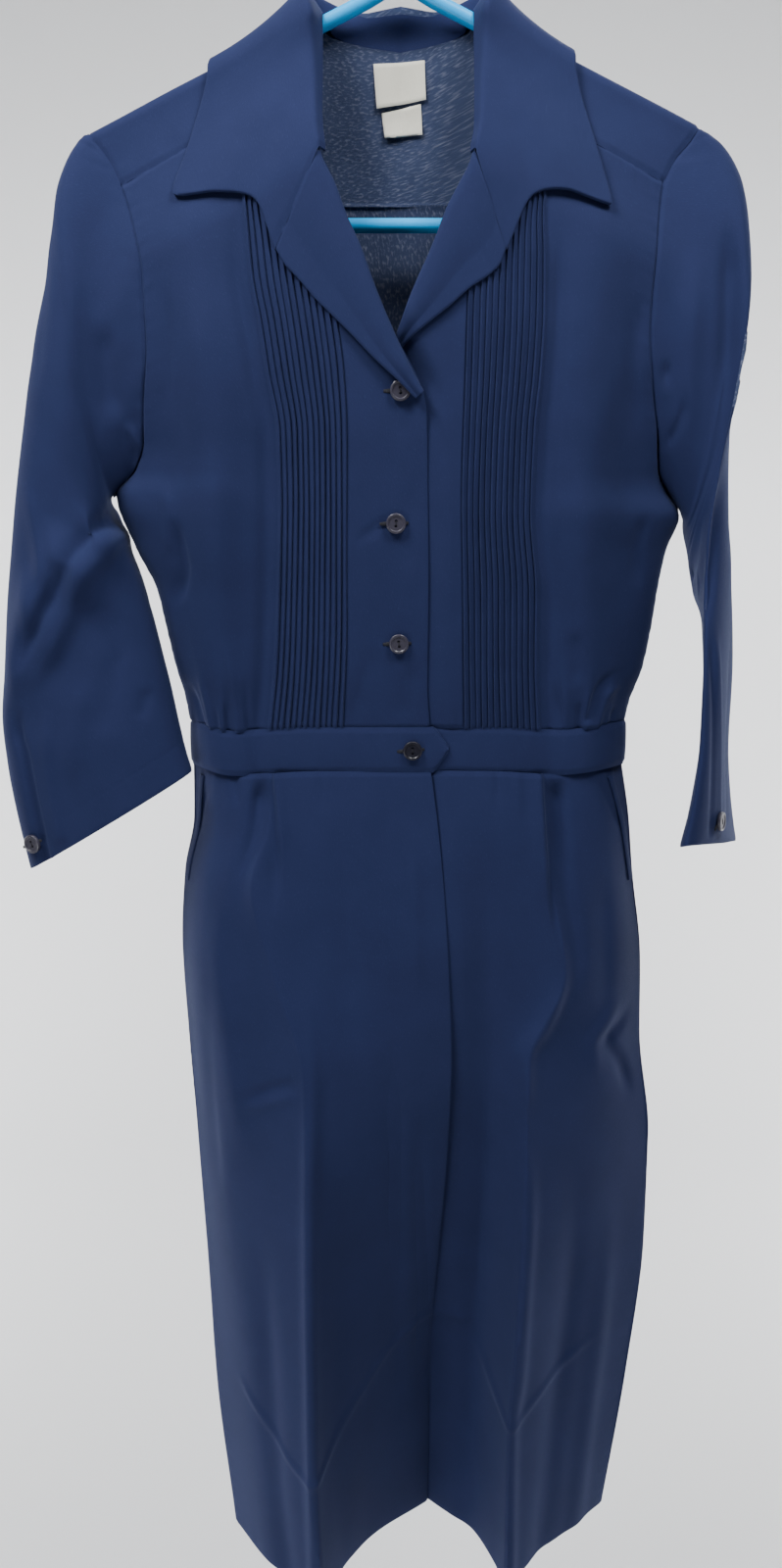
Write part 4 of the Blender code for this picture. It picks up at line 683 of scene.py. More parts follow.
FRONT_FOLDS = {
    Side.RIGHT: (
        Fold(((-148, -401), (-142, -426), (-141, -436), (-144, -449), (-153, -463)), -1.8, 3.4, 6.0),
        Fold(((-153, -380), (-150, -396), (-150, -430)), 1.4, 5.0),
        Fold(((-143, -513), (-138, -526), (-134, -541)), -1.5, 1.6, 2.6, (0.5, 0.0)),
        Fold(((-137, -505), (-131, -522), (-128, -541)), 1.2, 2.4, 2.0, (0.5, 0.0)),
        Fold(((-116, -480), (-111, -506), (-109, -541)), 1.3, 2.2, 3.0, (0.5, 0.0)),
        Fold(((-117, -518), (-116, -541)), -1.4, 1.6, 2.0, (0.5, 0.0)),
        Fold(((-103, -500), (-102, -541)), -1.0, 1.8, 2.4, (0.6, 0.0)),
        Fold(((-125, -524), (-123, -541)), -0.9, 1.2, 1.6, (0.6, 0.0)),
        Fold(((-155, -486), (-149, -512), (-143, -541)), 0.9, 3.0, 2.0, (0.5, 0.0)),
        Fold(((-10, -407), (-21, -414), (-30, -420)), -0.7, 2.2, 3.0, (0.0, 0.5)),
        Fold(((-16, -485), (-25, -511), (-31, -537)), -0.5, 4.0, 4.0),
        Fold(((-128, -260), (-125, -300), (-130, -345), (-137, -385)), 0.9, 7.0, 11.0),
        Fold(((-151, -250), (-147, -300), (-150, -350)), -0.8, 5.0, 6.0),
        Fold(((2, -345), (3, -395)), 0.35, 5.0, 5.0),
        Fold(((5, -425), (3, -475)), 0.4, 5.0, 5.0),
        Fold(((8, -495), (5, -538)), -0.5, 5.0, 5.0),
    ),
    Side.LEFT: (
        Fold(((103, -505), (107, -524), (111, -541)), -1.4, 2.0, 2.8, (0.5, 0.0)),
        Fold(((97, -500), (101, -520), (104, -541)), 1.0, 2.6, 2.0, (0.5, 0.0)),
        Fold(((120, -520), (121, -541)), -1.4, 1.6, 2.4, (0.5, 0.0)),
        Fold(((126, -538), (132, -516), (142, -506), (155, -503)), -1.6, 2.4, 3.6, (0.1, 0.5)),
        Fold(((133, -541), (140, -519), (152, -512)), 1.5, 3.0, 3.0, (0.0, 0.4)),
        Fold(((114, -474), (119, -513)), -0.8, 4.0, 5.0),
        Fold(((147, -528), (144, -541)), -1.0, 1.8, 2.2, (0.5, 0.0)),
        Fold(((131, -300), (128, -350), (136, -395), (150, -430)), 1.1, 8.0, 11.0),
        Fold(((150, -262), (147, -310), (152, -360)), -0.9, 5.0, 6.0),
        Fold(((162, -398), (156, -424), (158, -452)), -1.3, 4.0, 6.0),
        Fold(((30, -360), (31, -420), (33, -480)), 0.35, 4.0, 5.0),
    ),
}

BACK_FOLDS = (
    Fold(((-118, -300), (-112, -370), (-120, -450), (-114, -541)), 1.6, 9.0, 14.0, (0.4, 0.0)),
    Fold(((-70, -330), (-64, -430), (-68, -541)), -1.3, 8.0, 10.0, (0.5, 0.0)),
    Fold(((-28, -410), (-24, -470), (-27, -541)), 1.2, 5.0, 8.0, (0.6, 0.0)),
    Fold(((16, -380), (21, -460), (18, -541)), -1.0, 6.0, 9.0, (0.6, 0.0)),
    Fold(((64, -300), (58, -390), (66, -470), (62, -541)), 1.5, 8.0, 12.0, (0.5, 0.0)),
    Fold(((112, -350), (118, -430), (110, -541)), -1.4, 7.0, 9.0, (0.5, 0.0)),
    Fold(((148, -395), (138, -430), (141, -480)), -1.6, 4.0, 6.0),
    Fold(((-150, -392), (-139, -428), (-141, -470)), -1.5, 4.0, 6.0),
    Fold(((-100, -505), (-99, -541)), -1.0, 1.6, 2.4, (0.6, 0.0)),
    Fold(((-84, -512), (-85, -541)), 0.9, 1.8, 2.4, (0.6, 0.0)),
    Fold(((92, -508), (94, -541)), -1.1, 1.6, 2.2, (0.6, 0.0)),
    Fold(((128, -498), (124, -541)), 1.1, 2.4, 3.0, (0.5, 0.0)),
    Fold(((42, -515), (41, -541)), 0.8, 1.8, 2.2, (0.6, 0.0)),
    Fold(((-150, -225), (-140, -262), (-120, -300)), -0.9, 7.0, 10.0),
    Fold(((148, -222), (136, -258), (118, -292)), -0.9, 7.0, 10.0),
)

SLEEVE_FRONT = {
    Side.RIGHT: (
        Fold(((-181, -391), (-193, -409), (-207, -424), (-221, -451), (-235, -475), (-254, -505)), -3.6, 4.0, 8.5,
             (0.15, 0.25)),
        Fold(((-176, -401), (-190, -423), (-204, -441), (-216, -466), (-230, -492), (-247, -518)), 2.6, 6.0, 8.0,
             (0.2, 0.3)),
        Fold(((-253, -524), (-253, -542), (-249, -559), (-246, -583), (-242, -611), (-239, -634)), -2.2, 3.0, 4.0,
             (0.2, 0.0)),
        Fold(((-240, -377), (-235, -404), (-230, -442), (-225, -457)), 1.2, 3.0, 6.0),
        Fold(((-181, -348), (-175, -348), (-171, -353), (-169, -362), (-172, -371), (-178, -378)), 1.3, 2.4, 3.0),
        Fold(((-185, -283), (-187, -303), (-185, -326), (-179, -345)), -1.8, 6.0, 8.0),
        Fold(((-221, -235), (-226, -280), (-232, -330)), -1.0, 6.0, 10.0),
        Fold(((-200, -225), (-205, -275), (-211, -330), (-214, -380)), 1.3, 8.0, 9.0),
        Fold(((-205, -505), (-214, -540), (-218, -580)), 0.9, 6.0, 8.0),
        Fold(((-180, -478), (-190, -510), (-196, -548)), -0.9, 6.0, 8.0),
        Fold(((-232, -520), (-234, -560), (-229, -612)), 1.2, 4.0, 5.0, (0.3, 0.0)),
        Fold(((-166, -512), (-172, -535)), -0.7, 4.0, 5.0),
    ),
    Side.LEFT: (
        Fold(((202, -222), (203, -262), (204, -300), (204, -335), (203, -362)), -3.6, 8.0, 4.5, (0.25, 0.45)),
        Fold(((206, -372), (203, -400), (201, -424), (198, -449), (195, -474)), -2.0, 4.5, 2.0),
        Fold(((213, -270), (211, -305), (209, -345), (208, -380)), 1.2, 3.0, 4.0, (0.4, 0.5)),
        Fold(((184, -232), (183, -300), (184, -350), (187, -390)), 1.8, 7.0, 8.0, (0.3, 0.4)),
        Fold(((169, -359), (176, -350), (180, -338), (181, -327)), -1.1, 2.0, 3.0),
        Fold(((170, -308), (167, -321)), -1.2, 2.6, 3.6),
        Fold(((200, -471), (202, -509), (204, -560), (206, -606)), -1.0, 1.8, 2.6, (0.2, 0.0)),
        Fold(((204, -471), (208, -521), (214, -606)), 0.9, 2.0, 2.4, (0.2, 0.0)),
        Fold(((221, -470), (223, -520), (224, -560), (226, -603)), -0.8, 2.4, 3.4, (0.3, 0.0)),
    ),
}

SLEEVE_BACK = {
    Side.RIGHT: (
        Fold(((-196, -300), (-206, -350), (-214, -400), (-226, -440)), -1.8, 6.0, 9.0),
        Fold(((-180, -372), (-196, -398), (-215, -414), (-238, -420)), -2.6, 4.0, 7.0),
        Fold(((-174, -398), (-194, -424), (-216, -446), (-246, -462)), 2.0, 7.0, 6.0),
        Fold(((-170, -455), (-188, -480), (-208, -496)), -1.4, 5.0, 8.0),
        Fold(((-232, -500), (-236, -560), (-236, -632)), -1.2, 4.0, 6.0, (0.3, 0.0)),
        Fold(((-200, -520), (-206, -560), (-204, -600)), 1.0, 6.0, 8.0, (0.3, 0.1)),
    ),
    Side.LEFT: (
        Fold(((196, -250), (199, -310), (204, -370), (213, -430)), -1.6, 6.0, 9.0),
        Fold(((186, -376), (200, -396), (212, -404)), -2.2, 4.0, 6.0),
        Fold(((199, -430), (206, -480), (210, -540)), 1.4, 5.0, 7.0),
        Fold(((222, -450), (224, -520), (221, -590)), -1.3, 4.0, 6.0, (0.3, 0.1)),
    ),
}

SKIRT_FRONT_FOLDS = {
    Side.RIGHT: (
        Fold(((-88, -570), (-85, -606), (-83, -633), (-85, -661), (-89, -674)), -1.8, 1.6, 8.0, (0.0, 0.4)),
        Fold(((-84, -570), (-81, -606), (-79, -640)), 1.2, 5.0, 1.6, (0.0, 0.5)),
        Fold(((-110, -806), (-90, -792), (-67, -781)), -1.0, 3.0, 5.0),
        Fold(((-112, -815), (-92, -802), (-66, -792)), 0.8, 4.0, 4.0),
        Fold(((-124, -1032), (-108, -1053), (-65, -1088), (-34, -1052), (-5, -1022), (16, -1010)), 0.8, 2.6, 3.4,
             (0.1, 0.0)),
        Fold(((-129, -582), (-135, -592), (-139, -606), (-143, -624)), -0.6, 2.0, 3.0),
        Fold(((-3, -700), (-2, -877), (-2, -1044), (-4, -1150)), -1.2, 6.0, 9.0),
        Fold(((14, -800), (17, -900), (20, -1000), (19, -1110)), -1.6, 5.0, 7.0),
        Fold(((8, -600), (11, -660), (12, -740)), 0.8, 5.0, 6.0),
        Fold(((-40, -600), (-36, -680), (-30, -760)), -1.1, 8.0, 10.0),
        Fold(((-64, -700), (-60, -780), (-63, -900), (-63, -1190)), 1.8, 6.0, 5.0, (0.3, 0.0)),
        Fold(((-100, -880), (-97, -980), (-92, -1100), (-84, -1190)), -1.8, 8.0, 10.0, (0.4, 0.0)),
        Fold(((-122, -640), (-126, -700), (-120, -770), (-112, -860)), 1.5, 8.0, 9.0),
        Fold(((-138, -720), (-137, -800), (-134, -900)), -1.2, 6.0, 8.0),
        Fold(((-42, -880), (-44, -980), (-46, -1080), (-42, -1190)), -1.2, 8.0, 9.0, (0.4, 0.0)),
        Fold(((-112, -572), (-110, -600)), -0.9, 2.0, 3.0, (0.0, 0.7)),
        Fold(((-52, -571), (-51, -604)), -0.6, 2.6, 3.4, (0.0, 0.7)),
    ),
    Side.LEFT: (
        Fold(((99, -569), (103, -620), (108, -678), (121, -703)), -1.6, 7.0, 2.4, (0.0, 0.3)),
        Fold(((95, -569), (98, -620), (103, -676)), 1.3, 2.4, 6.0, (0.0, 0.4)),
        Fold(((118, -706), (106, -746), (90, -775), (92, -820)), 1.6, 5.0, 7.0),
        Fold(((93, -830), (94, -890), (92, -945), (90, -1020), (85, -1071), (84, -1190)), 1.6, 5.0, 6.0,
             (0.2, 0.0)),
        Fold(((52, -1011), (82, -1064), (110, -1045), (149, -1018), (164, -1011)), 0.8, 3.0, 3.4),
        Fold(((16, -1010), (36, -1008), (52, -1011)), 0.7, 3.0, 3.4, (0.0, 0.0)),
        Fold(((170, -745), (161, -761), (152, -772), (164, -795), (174, -827)), -1.8, 4.0, 6.0),
        Fold(((160, -735), (148, -757), (139, -772), (147, -800)), 1.2, 5.0, 6.0),
        Fold(((132, -570), (147, -599), (158, -622)), -0.8, 2.0, 3.0),
        Fold(((56, -600), (60, -690), (62, -790), (58, -900)), -1.2, 9.0, 12.0),
        Fold(((126, -840), (130, -940), (122, -1060), (112, -1190)), -1.9, 9.0, 11.0, (0.4, 0.0)),
        Fold(((158, -880), (157, -980), (150, -1090), (142, -1190)), 1.5, 8.0, 9.0, (0.4, 0.0)),
        Fold(((42, -900), (46, -1000), (48, -1110), (46, -1190)), 1.1, 9.0, 10.0, (0.4, 0.0)),
        Fold(((141, -640), (146, -700), (148, -760)), -0.9, 6.0, 8.0),
        Fold(((66, -571), (68, -602)), -0.7, 2.2, 3.0, (0.0, 0.7)),
        Fold(((80, -571), (82, -610)), 0.6, 3.0, 3.4, (0.0, 0.7)),
    ),
}

SKIRT_BACK_FOLDS = (
    Fold(((-104, -571), (-102, -640), (-110, -740), (-104, -900)), 2.2, 8.0, 12.0, (0.0, 0.5)),
    Fold(((-72, -571), (-74, -660), (-66, -780)), -1.8, 7.0, 9.0, (0.0, 0.6)),
    Fold(((-86, -571), (-88, -620)), -1.2, 2.4, 3.4, (0.0, 0.6)),
    Fold(((-34, -571), (-30, -680), (-36, -820), (-40, -1000)), 1.7, 8.0, 12.0, (0.1, 0.5)),
    Fold(((8, -572), (6, -700), (12, -860), (8, -1020), (4, -1190)), -1.8, 9.0, 13.0, (0.1, 0.0)),
    Fold(((48, -571), (52, -660), (46, -790)), 1.6, 7.0, 9.0, (0.0, 0.6)),
    Fold(((84, -571), (88, -700), (82, -850), (78, -1040)), -1.9, 9.0, 12.0, (0.1, 0.4)),
    Fold(((118, -571), (121, -690), (128, -820)), 1.9, 8.0, 10.0, (0.0, 0.5)),
    Fold(((100, -571), (99, -615)), -1.1, 2.2, 3.0, (0.0, 0.6)),
    Fold(((-118, -900), (-104, -1010), (-92, -1190)), -2.2, 10.0, 14.0, (0.4, 0.0)),
    Fold(((-62, -880), (-58, -1020), (-52, -1190)), 2.4, 11.0, 12.0, (0.4, 0.0)),
    Fold(((-20, -940), (-22, -1060), (-20, -1190)), -1.5, 9.0, 10.0, (0.5, 0.0)),
    Fold(((52, -900), (56, -1040), (54, -1190)), 2.3, 10.0, 13.0, (0.4, 0.0)),
    Fold(((104, -900), (112, -1020), (106, -1190)), -2.0, 10.0, 12.0, (0.4, 0.0)),
    Fold(((146, -840), (150, -960), (142, -1100)), 1.7, 9.0, 10.0),
    Fold(((-30, -1032), (8, -1020), (60, -1040), (110, -1052)), 0.7, 3.0, 4.0),
)

YOKE_FOLDS = (
    Fold(((-150, -176), (-110, -184), (-60, -181)), -0.7, 5.0, 6.0),
    Fold(((40, -179), (90, -185), (140, -177)), 0.7, 5.0, 7.0),
    Fold(((-52, -152), (-80, -168), (-118, -176)), 0.6, 4.0, 6.0),
)

COLLAR_FOLDS = (
    Fold(((-73, -235), (-68, -232), (-59, -233)), -0.7, 2.0, 2.6),
    Fold(((-96, -176), (-104, -200), (-112, -220)), 0.5, 7.0, 9.0),
    Fold(((-70, -160), (-82, -192), (-88, -222)), -0.5, 8.0, 9.0),
    Fold(((92, -178), (100, -204), (104, -224)), 0.5, 7.0, 9.0),
    Fold(((66, -158), (76, -196), (80, -226)), -0.5, 8.0, 9.0),
)


@dataclass(frozen=True)
class Edges:
    """Rolls at the edges of a sheet: its first and last row, its first and last column."""

    first_row: Roll | None = None
    last_row: Roll | None = None
    first_column: Roll | None = None
    last_column: Roll | None = None

    def relief(self, grid: Grid, closed: bool, seed: float) -> Grid:
        """Return the height that the rolls give each point.

        Args:
            grid: rows by columns of points.
            closed: whether the last column joins the first.
            seed: shifts the puckers.

        Returns:
            The height over the plain cloth, in metres.
        """
        u, v = arc_lengths(grid, closed)
        if closed:
            u, v = u[:, :-1], v[:, :-1]
        total = np.zeros(grid.shape[:2])
        if self.first_row:
            total += self.first_row.relief(v, u, seed)
        if self.last_row:
            total += self.last_row.relief(v[-1] - v, u, seed + 1.0)
        if self.first_column:
            total += self.first_column.relief(u, v, seed + 2.0)
        if self.last_column:
            total += self.last_column.relief(u[:, -1:] - u, v, seed + 3.0)
        return total


def shell(name: str, outer: Grid, inner: Grid, closed: bool = False) -> bpy.types.Object:
    """Make a closed shell between two grids, with a UV map in metres.

    Args:
        name: the new object's name.
        outer: rows by columns of points on the right side.
        inner: the same on the wrong side.
        closed: whether the last column joins the first.

    Returns:
        The object, whose wrong side has the second material.
    """
    rows, columns = outer.shape[:2]
    steps = columns if closed else columns - 1
    r, c = (part.ravel() for part in np.meshgrid(np.arange(rows - 1), np.arange(steps), indexing="ij"))
    deep = rows * columns
    blocks = [(np.stack([r, r, r + 1, r + 1], -1), np.stack([c, c + 1, c + 1, c], -1), np.zeros(4, int), 0),
              (np.stack([r, r + 1, r + 1, r], -1), np.stack([c, c, c + 1, c + 1], -1), np.ones(4, int), 1)]
    k = np.arange(steps)
    wall = np.array([0, 0, 1, 1])
    for row, order in ((0, (1, 0, 0, 1)), (rows - 1, (0, 1, 1, 0))):
        blocks.append((np.full((steps, 4), row), k[:, None] + np.array(order), wall, 0))
    if not closed:
        k = np.arange(rows - 1)
        for column, order in ((0, (0, 1, 1, 0)), (columns - 1, (1, 0, 0, 1))):
            blocks.append((k[:, None] + np.array(order), np.full((rows - 1, 4), column), wall, 0))
    u, v = arc_lengths(outer, closed)
    faces, coords, slots = [], [], []
    for rr, cc, level, slot in blocks:
        faces.append(rr * columns + cc % columns + level * deep)
        coords.append(np.stack([u[rr, cc], v[rr, cc]], -1))
        slots.append(np.full(len(rr), slot))
    quads, uv = np.concatenate(faces), np.concatenate(coords)
    points = np.concatenate([outer.reshape(-1, 3), inner.reshape(-1, 3)])
    first = points[quads[: len(r)]]
    face = np.cross(first[:, 2] - first[:, 0], first[:, 3] - first[:, 1])
    through = (outer - inner).reshape(-1, 3)[quads[: len(r), 0]]
    if np.sum(face * through) < 0:
        quads, uv = quads[:, ::-1], uv[:, ::-1]
    mesh = bpy.data.meshes.new(name)
    mesh.from_pydata(points.tolist(), [], quads.tolist())
    layer = mesh.uv_layers.new(name="weave")
    layer.data.foreach_set("uv", uv.reshape(-1).astype(np.float32))
    mesh.polygons.foreach_set("material_index", np.concatenate(slots).astype(np.int32))
    mesh.shade_smooth()
    mesh.set_sharp_from_angle(angle=math.radians(70.0))
    piece = bpy.data.objects.new(name, mesh)
    bpy.context.scene.collection.objects.link(piece)
    return piece


def surface_area(grid: Grid, closed: bool = False) -> float:
    """Return the area of a grid of points."""
    ring = ringed(grid, closed)
    one = np.cross(ring[1:, 1:] - ring[:-1, :-1], ring[1:, :-1] - ring[:-1, 1:])
    return float(np.linalg.norm(one, axis=2).sum() / 2)


@dataclass
class Piece:
    """One cut piece of cloth: its grid of points, its creases and its edges."""

    node: str
    base: Grid
    inside: Sequence[float]
    edges: Edges = Edges()
    creases: Grid | float = 0.0
    raised: Grid | float = 0.0
    wall: float = 0.0010
    closed: bool = False
    sway: float = 0.0007
    sway_size: float = 0.055
    seed: float = 0.0
    rests_on: str = "yoke_cloth"
    trim: bool = False

    def lapped(self) -> tuple[Grid, Grid, Grid]:
        """Return the points, the creases and the raised heights with the seams' laps added."""
        grid = self.base
        creases = np.zeros(grid.shape[:2]) + self.creases
        raised = np.zeros(grid.shape[:2]) + self.raised
        rolls = (self.edges.first_row, self.edges.last_row, self.edges.first_column, self.edges.last_column)
        for k, roll in enumerate(rolls):
            if roll is None or not roll.lap:
                continue
            axis, end = k // 2, k % 2
            rim = np.take(grid, [-1 if end else 0], axis)
            step = rim - np.take(grid, [-2 if end else 1], axis)
            step = step / np.maximum(np.linalg.norm(step, axis=2, keepdims=True), 1e-9) * roll.lap * MM
            order = slice(None, None, 1 if end else -1)
            grid = np.concatenate([grid, rim + step][order], axis)
            creases = np.concatenate([creases, np.take(creases, [-1 if end else 0], axis)][order], axis)
            raised = np.concatenate([raised, np.take(raised, [-1 if end else 0], axis)][order], axis)
        return grid, creases, raised

    def dress(self, right: bpy.types.Material, wrong: bpy.types.Material,
              carried: Sequence[bpy.types.Object] = ()) -> bpy.types.Object:
        """Args:
            right: the finish of the right side.
            wrong: the finish of the wrong side.
            carried: the trims that go with it.

        Returns:
            The new object.
        """
        base, creases, raised = self.lapped()
        inside = base.mean(axis=1, keepdims=True) if self.closed else self.inside
        normals = grid_normals(base, inside, self.closed)
        middle = base + normals * (drift(base, self.sway_size, self.sway, self.seed) + creases)[..., None]
        normals = grid_normals(middle, inside, self.closed)
        rolled = self.edges.relief(base, self.closed, self.seed)
        outer = middle + normals * (rolled + raised)[..., None]
        inner = middle - normals * (self.wall - np.minimum(rolled, 0.0))[..., None]
        piece = shell(f"{self.node}_cloth", outer, inner, self.closed)
        piece.data.materials.append(right)
        piece.data.materials.append(wrong)
        u, v = arc_lengths(outer, self.closed)
        width, length = float(u[:, -1].max()), float(v[-1].max())
        area = min(surface_area(outer, self.closed), width * length)
        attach(piece, "root")
        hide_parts(self.node)
        if not self.trim:
            list(carried)
        LOG.info("%s: %d faces, flat %.0f by %.0f mm, %.4f m2", piece.name, len(piece.data.polygons),
                 width / MM, length / MM, area)
        return piece


SEAM = Roll(depth=0.85, width=0.75, lap=0.8)
SOFT_SEAM = Roll(depth=0.8, width=0.8, pucker=0.10, lap=0.8)
ARMHOLE = Roll(depth=1.0, width=0.85, pucker=0.22, pitch=12.0, reach=9.0, lap=0.9)
GORGE = Roll(depth=0.45, width=0.65, pucker=0.03, lap=1.2)
TURNED = Roll(depth=0.30, width=0.8, pucker=0.05, pitch=17.0)
HEM = Roll(depth=0.3, width=0.9, pucker=0.12, pitch=26.0, reach=18.0)
CRISP = Roll(depth=0.40, width=0.7, pucker=0.04, pitch=14.0)

TUCK_PROFILE = ((0.00, -0.55), (0.045, 0.70), (0.14, 1.30), (0.27, 1.20), (0.42, 0.74), (0.58, 0.32),
                (0.76, 0.02), (0.91, -0.30))


BEHIND_FRONT = (0.0, 0.3, -0.37)


@dataclass
class Bodice:
    """The two tucked fronts and the plain back of the bodice."""

    rows: int = 168
    edge_columns: int = 58
    back_rows: int = 104
    back_columns: int = 108
    tuck_shift: float = 0.05
    row_pack: float = 0.35
    underarm_share: float = 0.44
    stitch_in: float = 0.0150
    stitch_depth: float = 0.00018
    stitch_width: float = 0.0008
    stitch_top: float = -0.335

    def front_columns(self, side: Side) -> tuple[Grid, Grid, Grid]:
        """Return the zone, the share of the zone and the tuck height of each column.

        Args:
            side: the wearer's side.

        Returns:
            Three arrays, with zone 0 at the placket, 1 at the tucks and 2 at the side.
        """
        count = 20 if side is Side.RIGHT else 30
        columns = [(0.0, share, 0.0) for share in packed(count, 0.6)[:-1]]
        for tuck in range(TUCKS):
            size = 1.0 + 0.12 * math.sin(2.3 * tuck + side.sign)
            columns += [(1.0, (tuck + share) / TUCKS, height * size) for share, height in TUCK_PROFILE]
        columns.append((1.0, 1.0, -0.3))
        columns += [(2.0, share, 0.0) for share in turned_sine(self.edge_columns)]
        table = np.array(columns)
        return table[:, 0], table[:, 1], table[:, 2] * MM

    def front_grid(self, side: Side) -> tuple[Grid, Grid]:
        """Return the points of one front and the height of its tucks.

        Args:
            side: the wearer's side.

        Returns:
            The grid from the waist to the yoke, and a height for each of its points.
        """
        zone, share, height = self.front_columns(side)
        level = packed(self.rows, self.row_pack)[:, None]
        top_z = JUNCTION_Z[side] - GAP
        z = WAIST_Z + (top_z - WAIST_Z) * level + 0 * share
        row = np.linspace(0, 1, self.rows)[:, None]
        waver = np.sin(9.0 * row + 17.0 * share) * 0.6 + np.sin(23.0 * row + 41.0 * share) * 0.4
        share = share + np.where(zone == 1, self.tuck_shift / TUCKS * waver, 0.0)
        for _ in range(4):
            start = np.where(zone == 0, INNER_X[side](z), np.where(zone == 1, TUCK_IN_X[side](z),
                                                                  TUCK_OUT_X[side](z)))
            end = np.where(zone == 0, TUCK_IN_X[side](z), np.where(zone == 1, TUCK_OUT_X[side](z),
                                                                EDGE_X[side](z)))
            x = start + (end - start) * share
            top = ridge(x) - (YOKE_DROP[side] - ARCH_TURN + ARCH) - GAP
            top = np.where(zone == 2, top + (top_z - top) * np.clip(share, 0, 1) ** 8, top)
            z = WAIST_Z + (top - WAIST_Z) * level
        x = off_middle(x, side.sign)
        grid = np.stack([x, body_depth(x, z), z], -1)
        raised = height * (1 + 0.14 * np.sin(13.0 * row + 5.0 * share * TUCKS))
        return grid, raised

    def fronts(self) -> Iterable[Piece]:
        """Return the two fronts."""
        for side in Side:
            grid, raised = self.front_grid(side)
            if side is Side.LEFT:
                normals = grid_normals(grid, BEHIND_FRONT)
                grid = grid - normals * under_lap(grid[..., 0], grid[..., 2])[..., None]
            x, z = grid[..., 0], grid[..., 2]
            creases = folded(FRONT_FOLDS[side], x, z)
            if side is Side.RIGHT:
                line = x - (INNER_X[side](z) - self.stitch_in)
                fade = ease((self.stitch_top - z) / 0.01)
                creases = creases - self.stitch_depth * hump(line, self.stitch_width) * fade
            grid = waist_dip(grid)
            edges = Edges(first_row=SEAM, last_row=SEAM, first_column=TURNED, last_column=SEAM)
            yield Piece(f"bodice_front_{side.value}", grid, BEHIND_FRONT, edges, creases, raised,
                        seed=1.0 + side.sign)

    def back(self) -> Piece:
        """Return the back."""
        share = np.sin(math.pi / 2 * np.linspace(-1, 1, self.back_columns))[None]
        level = packed(self.back_rows, self.row_pack)[:, None]
        rows = {side: WAIST_Z + (BACK_SEAM_Z - GAP - WAIST_Z) * level for side in Side}
        for side in Side:
            split = self.underarm_share
            low = WAIST_Z + (UNDERARM_Z[side] - WAIST_Z) * np.clip(level / split, 0, 1)
            high = (BACK_SEAM_Z - GAP - UNDERARM_Z[side]) * np.clip((level - split) / (1 - split), 0, 1)
            rows[side] = low + high
        middle = (rows[Side.RIGHT] + rows[Side.LEFT]) / 2
        own = np.where(share < 0, rows[Side.RIGHT], rows[Side.LEFT])
        z = middle + (own - middle) * np.abs(share) ** 3
        x = np.where(share < 0, BACK_EDGE_X[Side.RIGHT](z), BACK_EDGE_X[Side.LEFT](z)) * np.abs(share)
        x = off_middle(x)
        grid = np.stack([x, body_depth(x, z, False), z], -1)
        edges = Edges(SEAM, SEAM, SEAM, SEAM)
        return Piece("bodice_back", grid, (0.0, -0.3, -0.37), edges, folded(BACK_FOLDS, x, z), seed=3.0,
                     sway=0.0010)


YOKE_SIDE_Q = ((0.0, 0.0), (0.06, -0.0054), (0.13, -0.0108), (0.22, -0.0203), (0.32, -0.0334))
YOKE_CORNER = 0.43
YOKE_SEAM_PARTS = ((0.43, 1.0), (0.55, 0.80), (0.67, 0.58), (0.79, 0.37), (0.90, 0.18), (1.0, 0.0))


@dataclass
class Yoke:
    """The yoke over both shoulders, from the front seams to the back one."""

    front: int = 22
    side: int = 26
    seam: int = 34
    columns: int = 46

    def corner_q(self, side: Side) -> float:
        """Return the place of the corner at the armhole and the back seam."""
        x = float(BACK_EDGE_X[side](BACK_SEAM_Z))
        return -drop_to_q(float(ridge(x)) - BACK_SEAM_Z)

    def stations(self, side: Side) -> Grid:
        """Return the neck and the outer end of each station of one half.

        Args:
            side: the wearer's side.

        Returns:
            Rows of neck x and q and outer x and q, from the front seam to the middle of the back.
        """
        armhole = Track(YOKE_ARMHOLE[side])
        neck = Track(BACK_NECK[side])
        q = YOKE_DROP[side] * np.linspace(1.0, 0.0, self.front + 1)[:-1]
        front = np.column_stack([np.full(len(q), BACK_NECK[side][0][1]), q, armhole(q), q])
        share = np.linspace(0.0, YOKE_CORNER, self.side + 1)[:-1]
        outer_q = Track(list(YOKE_SIDE_Q) + [(YOKE_CORNER, self.corner_q(side))])(share)
        round_end = np.column_stack([neck(share), armhole(outer_q), outer_q])
        share = np.linspace(YOKE_CORNER, 1.0, self.seam)
        x = float(BACK_EDGE_X[side](BACK_SEAM_Z)) * Track(YOKE_SEAM_PARTS)(share)
        seam = np.column_stack([neck(share), x, -drop_to_q(ridge(x) - BACK_SEAM_Z)])
        return np.concatenate([front, round_end, seam])

    def piece(self) -> Piece:
        """Return the yoke."""
        halves = {side: self.stations(side) for side in Side}
        rows = np.concatenate([halves[Side.RIGHT], halves[Side.LEFT][::-1][1:]])
        share = packed(self.columns, 0.4)
        x = rows[:, 0:1] + (rows[:, 2:3] - rows[:, 0:1]) * share
        q = rows[:, 1:2] + (rows[:, 3:4] - rows[:, 1:2]) * share
        x = off_middle(x)
        grid = over_shoulder(x, q)
        creases = folded(YOKE_FOLDS, x, grid[..., 2]) * ease(-grid[..., 1] / 0.004)
        return Piece("yoke", grid, (0.0, 0.0, -0.40), Edges(SEAM, SEAM, TURNED, SOFT_SEAM), creases, sway=0.0004,
                     seed=5.0, rests_on="hanger_tube")


